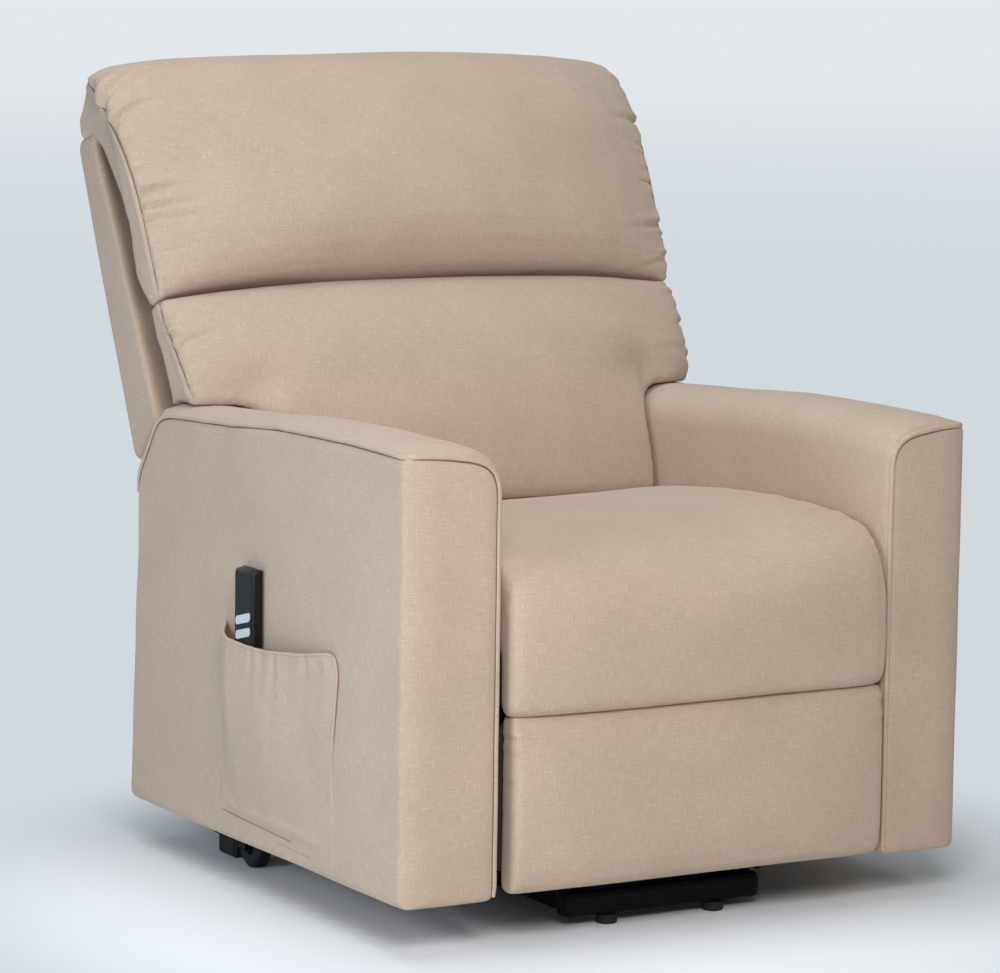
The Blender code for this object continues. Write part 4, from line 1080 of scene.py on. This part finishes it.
class RECLINER_OT_pocket(PieceOperator, bpy.types.Operator):
    """Makes the gathered cloth pocket on the right arm."""
    bl_idname = "recliner.pocket"
    bl_label = "Side pocket"

    # Edges of the cloth: height against distance from the front, and the hem's height along the pocket
    FRONT_Z = (0.078, 0.166, 0.204, 0.290, 0.320, 0.336, 0.350)
    FRONT_Y = (0.182, 0.185, 0.186, 0.173, 0.169, 0.170, 0.179)
    REAR_Z = (0.078, 0.092, 0.166, 0.238, 0.300, 0.348)
    REAR_Y = (0.488, 0.489, 0.4945, 0.4925, 0.484, 0.480)
    HEM_U = (0.0, 0.03, 0.25, 0.50, 0.68, 0.84, 0.93, 1.0)
    HEM_Z = (0.3475, 0.3500, 0.3395, 0.3325, 0.3315, 0.3330, 0.3390, 0.3480)
    # Gathers under the hem: place along the pocket, depth, width, length
    GATHERS = (
        (0.22, 0.0036, 0.0070, 0.050), (0.44, 0.0046, 0.0060, 0.060), (0.62, 0.0036, 0.0060, 0.040),
        (0.33, 0.0016, 0.0080, 0.050), (0.53, 0.0016, 0.0080, 0.060), (0.11, 0.0014, 0.0070, 0.040),
        (0.74, 0.0014, 0.0060, 0.030), (0.88, 0.0018, 0.0060, 0.040),
    )
    # Radii of the rolled front edge, of the dark lines beside both edges and of the dark line along the
    # bottom fold; these dark lines are painted shade of the gaps and the fold
    EDGE_RADIUS, LINE_RADIUS, FOLD_RADIUS = 0.0021, 0.0019, 0.0005
    # How far the cloth stands out over the handset
    BULGE = 0.0232

    def build(self, context):
        self.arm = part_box("arm_right")[0].x
        bm = bmesh.new()
        bmesh.ops.create_grid(bm, x_segments=110, y_segments=90, size=0.5)
        for vert in bm.verts:
            vert.co = self.place(vert.co.x + 0.5, vert.co.y + 0.5)
        bmesh.ops.recalc_face_normals(bm, faces=bm.faces)
        made = new_piece("side_pocket_cloth", bm, finish("woven_polyester"))
        set_weave(made, get_points(made)[:, 1:][corners(made)])
        modify(made, "SOLIDIFY", thickness=self.sizes.pocket_sheet, offset=0.0)
        smooth_shade(made)
        top = even_path([self.place(u, 1.0) for u in np.linspace(0.0, 1.0, 90)], 0.004)
        fore = even_path([self.place(0.0, v) for v in np.linspace(0.0, 1.0, 70)], 0.004)
        roll = tube("side_pocket_hem", [top], self.sizes.hem, finish("woven_polyester"))
        lay_along(roll, top)
        rim = tube("side_pocket_edge", [fore], self.EDGE_RADIUS, finish("woven_polyester"))
        lay_along(rim, fore)
        # Painted shade: dark lines in front of the front edge, along the rear edge and along the bottom
        # fold, where the cloth meets the arm or folds under
        sewn = np.array([(self.arm - 0.0006, p[1] - 0.0040, p[2]) for p in fore if p[2] < 0.335])
        rear_shade = even_path([self.place(1.0, v) for v in np.linspace(0.06, 0.97, 60)], 0.004)
        rear_shade = np.array([(self.arm - 0.0006, p[1] + 0.0012, p[2]) for p in rear_shade])
        fold = [self.place(u, 0.040) - Vector((0.0008, 0, 0)) for u in np.linspace(0.36, 0.99, 60)]
        thread = finish("painted_seam_shade")
        edges = tube("side_pocket_edge_seams", [sewn, rear_shade], self.LINE_RADIUS, thread)
        fold_shade = tube("side_pocket_fold_shade", [even_path(fold, 0.004)], self.FOLD_RADIUS, thread)
        self.cloth(made, "chair", "side_pocket")
        extras = [roll, rim, edges, fold_shade]
        for extra in extras:
            self.cloth(extra, "chair")

    def place(self, u, v):
        """A point of the cloth: u runs from the front edge to the rear one, v from bottom to hem."""
        low, hem = 0.078 + 0.010 * u, np.interp(u, self.HEM_U, self.HEM_Z)
        z = low + (hem - low) * v
        fore, rear = np.interp(z, self.FRONT_Z, self.FRONT_Y), np.interp(z, self.REAR_Z, self.REAR_Y)
        y = fore + (rear - fore) * u
        upper = ease_in((z - 0.13) / 0.16)
        loose = 0.0090 * ease_in(u / 0.18 + 0.45) * ease_in((1.0 - u) / 0.10) * upper
        case = ease_in((y - 0.20) / 0.16) * ease_in((0.490 - y) / 0.060) * ease_in((z - 0.09) / 0.18)
        stand = 0.0018 + loose * (1.0 - case) + self.BULGE * case
        down = max(0.0, hem - 0.008 - z)
        for at, depth, wide, long in self.GATHERS:
            across = (y - fore - at * (rear - fore)) / (wide + 0.10 * down)
            wave = 0.75 * bell(across, 2.2) - bell(across, 1.0)
            stand += depth * np.exp(-down / long) * wave * ease_in((v - 0.2) / 0.4)
        # The fold along the bottom, above the sewn edge
        fold = bell(z - 0.104 - 0.004 * u, 0.0070)
        stand += 0.0040 * fold * ease_in(u / 0.3) * ease_in((1 - u) / 0.15)
        return Vector((self.arm - max(0.0012, stand), FRONT + y, z))


class RECLINER_OT_handset(PieceOperator, bpy.types.Operator):
    """Makes the handset: a black case with a slate face and two slanted keys."""
    bl_idname = "recliner.handset"
    bl_label = "Handset"

    # How far the inner side keeps off the solid's
    CLEAR = 0.0046

    def build(self, context):
        low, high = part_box("handset_case")
        bm = block(high - low, (low + high) / 2)
        # The inner side lies on the padded arm and clears its piping
        inner = [v for v in bm.verts if v.co.x > high.x - 1e-4]
        bmesh.ops.translate(bm, verts=inner, vec=(-self.CLEAR, 0.0, 0.0))
        face = [v for v in bm.verts if v.co.x < low.x + 1e-4 and v.co.z > high.z - 1e-4]
        bmesh.ops.translate(bm, verts=face, vec=(0.0, 0.0, -0.0035))
        bevel(bm, bm.edges[:], 0.0030, 3)
        case = new_piece("handset_shell", bm, finish("moulded_abs"))
        smooth_shade(case)
        plate = self.plate(low, high)
        arcs = []
        u = np.linspace(0.0, 1.0, 24)
        for z, bow in ((high.z - 0.0360, 0.0042), (high.z - 0.0075, 0.0022)):
            height = z + bow * 4 * u * (1 - u) - 0.0042 * u
            arcs.append(np.stack([np.full(24, low.x - 0.0006), low.y + 0.0045 + 0.042 * u, height], axis=1))
        ridge = tube("handset_ridges", arcs, 0.0005, finish("moulded_abs"))
        for piece in (case, plate, ridge):
            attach(piece, "handset")
        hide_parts("handset_case")

    def plate(self, low, high):
        """The slate face, set into the side that looks out of the pocket."""
        middle = (low + high) / 2
        bm = block(
            (0.0016, high.y - low.y - 0.0052, high.z - low.z - 0.0090),
            (low.x + 0.0002, middle.y, middle.z - 0.0020)
        )
        upright = [e for e in bm.edges if abs(e.verts[0].co.x - e.verts[1].co.x) > 1e-4]
        bevel(bm, upright, 0.0040, 4)
        return new_piece("handset_face", bm, finish("soft_touch_abs"))


class RECLINER_OT_hardware(PieceOperator, bpy.types.Operator):
    """Finishes the steelwork, timber, rubber and plastic that stay as they are in the solids."""
    bl_idname = "recliner.hardware"
    bl_label = "Frame finishes"

    def build(self, context):
        names = {
            "black_steel": "powder_coated_steel", "zinc_steel": "shade_dark_zinc_steel",
            "timber": "shade_dark_plywood", "black_rubber": "moulded_rubber",
            "black_plastic": "moulded_abs", "grey_plastic": "silicone_keys",
        }
        for node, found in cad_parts.items():
            was = found.data.materials[0].name.split(".")[0] if found.data.materials else ""
            if was in names:
                give(node, names[was])


def give(node, name):
    """Sets a finish on a solid that stays in view."""
    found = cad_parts[node]
    found.data.materials.clear()
    found.data.materials.append(finish(name))


class RECLINER_OT_glides(PieceOperator, bpy.types.Operator):
    """Puts a moulded glide under each corner of the arms."""
    bl_idname = "recliner.glides"
    bl_label = "Arm glides"

    def build(self, context):
        for side, word in ((1, "left"), (-1, "right")):
            for deep, end in ((0.040, "front"), (0.690, "rear")):
                bm = bmesh.new()
                bmesh.ops.create_circle(bm, cap_ends=True, radius=0.014, segments=32)
                grown = bmesh.ops.extrude_face_region(bm, geom=bm.faces[:])
                lower = [v for v in grown["geom"] if isinstance(v, bmesh.types.BMVert)]
                bmesh.ops.translate(bm, verts=lower, vec=(0.0, 0.0, -0.0050))
                bmesh.ops.scale(bm, verts=lower, vec=(0.86, 0.86, 1.0))
                spot = (MIDDLE + side * (HALF - 0.030), FRONT + deep, ARM_LOW + 0.0015)
                bmesh.ops.translate(bm, verts=bm.verts, vec=spot)
                bmesh.ops.recalc_face_normals(bm, faces=bm.faces)
                rim = [e for e in bm.edges if len(e.link_faces) == 2 and e.calc_face_angle() > 0.8]
                bevel(bm, rim, 0.0010, 2)
                made = new_piece(f"arm_glide_{word}_{end}", bm, finish("moulded_abs"))
                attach(made, "chair")


class RECLINER_OT_stage(PieceOperator, bpy.types.Operator):
    """Sets the pale floor, soft lights, world and camera."""
    bl_idname = "recliner.stage"
    bl_label = "Studio"

    def build(self, context):
        self.floor()
        self.world()
        self.lamps()
        self.camera()
        context.scene.view_settings.view_transform = "Standard"

    def floor(self):
        bm = bmesh.new()
        bmesh.ops.create_circle(bm, cap_ends=True, radius=40.0, segments=96)
        bmesh.ops.translate(bm, verts=bm.verts, vec=(0.0, 0.0, -0.0002))
        made = new_piece("studio_floor", bm, self.floor_material())

    def floor_material(self):
        """Matt studio paper: pale near the chair, then the background's tone, lighter again far off."""
        material, tree = start_material("studio_paper")
        place = add_node(tree, "TexCoord")
        far = add_node(tree, "VectorMath", {"operation": "LENGTH"}, i0=place.outputs["Object"])
        # The real floor shows up to 0.56 m from a spot ahead of the middle, and is gone at 0.95 m
        near = add_node(
            tree, "VectorMath", {"operation": "DISTANCE"}, i0=place.outputs["Object"], i1=(0.0, -0.22, 0.0)
        )
        soft = {"interpolation_type": "SMOOTHSTEP"}
        fade = add_node(tree, "MapRange", soft, i0=near.outputs[1], i1=0.56, i2=0.95)
        path = add_node(tree, "LightPath")
        seen = maths(tree, "MULTIPLY", fade.outputs[0], path.outputs["Is Camera Ray"])
        away = add_node(tree, "MapRange", soft, i0=far.outputs[1], i1=7.0, i2=28.0)
        ends = (0.0, colour(self.colours.backdrop)), (1.0, colour(self.colours.backdrop_top))
        paper = add_node(tree, "BsdfDiffuse", Color=colour(self.colours.floor))
        glow = add_node(tree, "Emission", Color=ramp(tree, away.outputs[0], *ends), Strength=1.0)
        mixed = add_node(tree, "MixShader", i0=seen, i1=paper.outputs[0], i2=glow.outputs[0])
        return close_material(material, mixed)

    def world(self):
        world = bpy.data.worlds.new("studio")
        bpy.context.scene.world = world
        world.use_nodes = True
        tree = world.node_tree
        tree.nodes.clear()
        path = add_node(tree, "LightPath")
        kinds = ("Camera", "Glossy", "Transmission")
        camera, glossy, clear = (path.outputs[f"Is {kind} Ray"] for kind in kinds)
        seen = maths(tree, "MAXIMUM", maths(tree, "MAXIMUM", camera, glossy), clear)
        room = add_node(tree, "Background", Color=(0.92, 0.97, 1.0, 1.0), Strength=0.19)
        back = add_node(tree, "Background", Color=colour(self.colours.backdrop_top), Strength=1.0)
        mixed = add_node(tree, "MixShader", i0=seen, i1=room.outputs[0], i2=back.outputs[0])
        add_node(tree, "OutputWorld", Surface=mixed.outputs[0])

    def lamps(self):
        for name, spot, aim, wide, watts, tint in (
            ("key", (-1.1, -2.3, 1.7), (-0.1, -0.2, 0.55), 1.1, 42.0, (1.0, 0.98, 0.96)),
            ("side", (-2.9, -0.9, 1.05), (-0.3, 0.0, 0.5), 1.2, 33.0, (0.68, 0.80, 1.0)),
            ("top", (-0.2, 0.1, 3.2), (0.0, 0.0, 0.5), 1.6, 36.0, (0.88, 0.95, 1.0)),
        ):
            lamp = bpy.data.lights.new(name, "AREA")
            lamp.shape = "SQUARE"
            lamp.size = wide
            lamp.energy = watts
            lamp.color = tint
            made = bpy.data.objects.new(name, lamp)
            bpy.context.scene.collection.objects.link(made)
            made.location = spot
            made.rotation_euler = (Vector(aim) - Vector(spot)).to_track_quat("-Z", "Y").to_euler()

    def camera(self):
        """The photograph's viewpoint: 30 degrees round from the front and 8 degrees down."""
        turn, tip, roll, away = radians(-30.249), radians(7.634), radians(0.802), 5.6253
        aim = Vector((-0.0983, -0.1877, 0.5289))
        back = Vector((sin(turn) * cos(tip), -cos(turn) * cos(tip), sin(tip)))
        right = (-back).cross(Vector((0.0, 0.0, 1.0))).normalized()
        up = right.cross(-back)
        across, above = right * cos(roll) + up * sin(roll), up * cos(roll) - right * sin(roll)
        lens = bpy.data.cameras.new("camera")
        lens.sensor_width = 36.0
        lens.lens = 156.91
        made = bpy.data.objects.new("camera", lens)
        bpy.context.scene.collection.objects.link(made)
        turned = Matrix((across, above, back)).transposed().to_4x4()
        made.matrix_world = Matrix.Translation(aim + back * away) @ turned
        bpy.context.scene.camera = made


OPERATORS = (
    RECLINER_OT_stage, RECLINER_OT_hardware, RECLINER_OT_arms, RECLINER_OT_seat, RECLINER_OT_footrest,
    RECLINER_OT_back_shell, RECLINER_OT_headrest, RECLINER_OT_lumbar, RECLINER_OT_pocket,
    RECLINER_OT_handset, RECLINER_OT_glides,
)


class RECLINER_PT_panel(bpy.types.Panel):
    """Lists the recliner's pieces in the sidebar."""
    bl_idname = "RECLINER_PT_panel"
    bl_label = "Lift recliner"
    bl_space_type = "VIEW_3D"
    bl_region_type = "UI"
    bl_category = "Recliner"

    def draw(self, context):
        for group in (context.scene.recliner_sizes, context.scene.recliner_colours):
            box = self.layout.box()
            for name in group.__annotations__:
                box.prop(group, name)
        for made in OPERATORS:
            self.layout.operator(made.bl_idname)


CLASSES = (ReclinerColours, ReclinerSizes, *OPERATORS, RECLINER_PT_panel)


def register():
    for made in CLASSES:
        bpy.utils.register_class(made)
    bpy.types.Scene.recliner_colours = PointerProperty(type=ReclinerColours)
    bpy.types.Scene.recliner_sizes = PointerProperty(type=ReclinerSizes)


def unregister():
    del bpy.types.Scene.recliner_sizes
    del bpy.types.Scene.recliner_colours
    for made in reversed(CLASSES):
        bpy.utils.unregister_class(made)


def main():
    register()
    for made in OPERATORS:
        group, word = made.bl_idname.split(".")
        getattr(getattr(bpy.ops, group), word)()


if __name__ == "__main__":
    main()
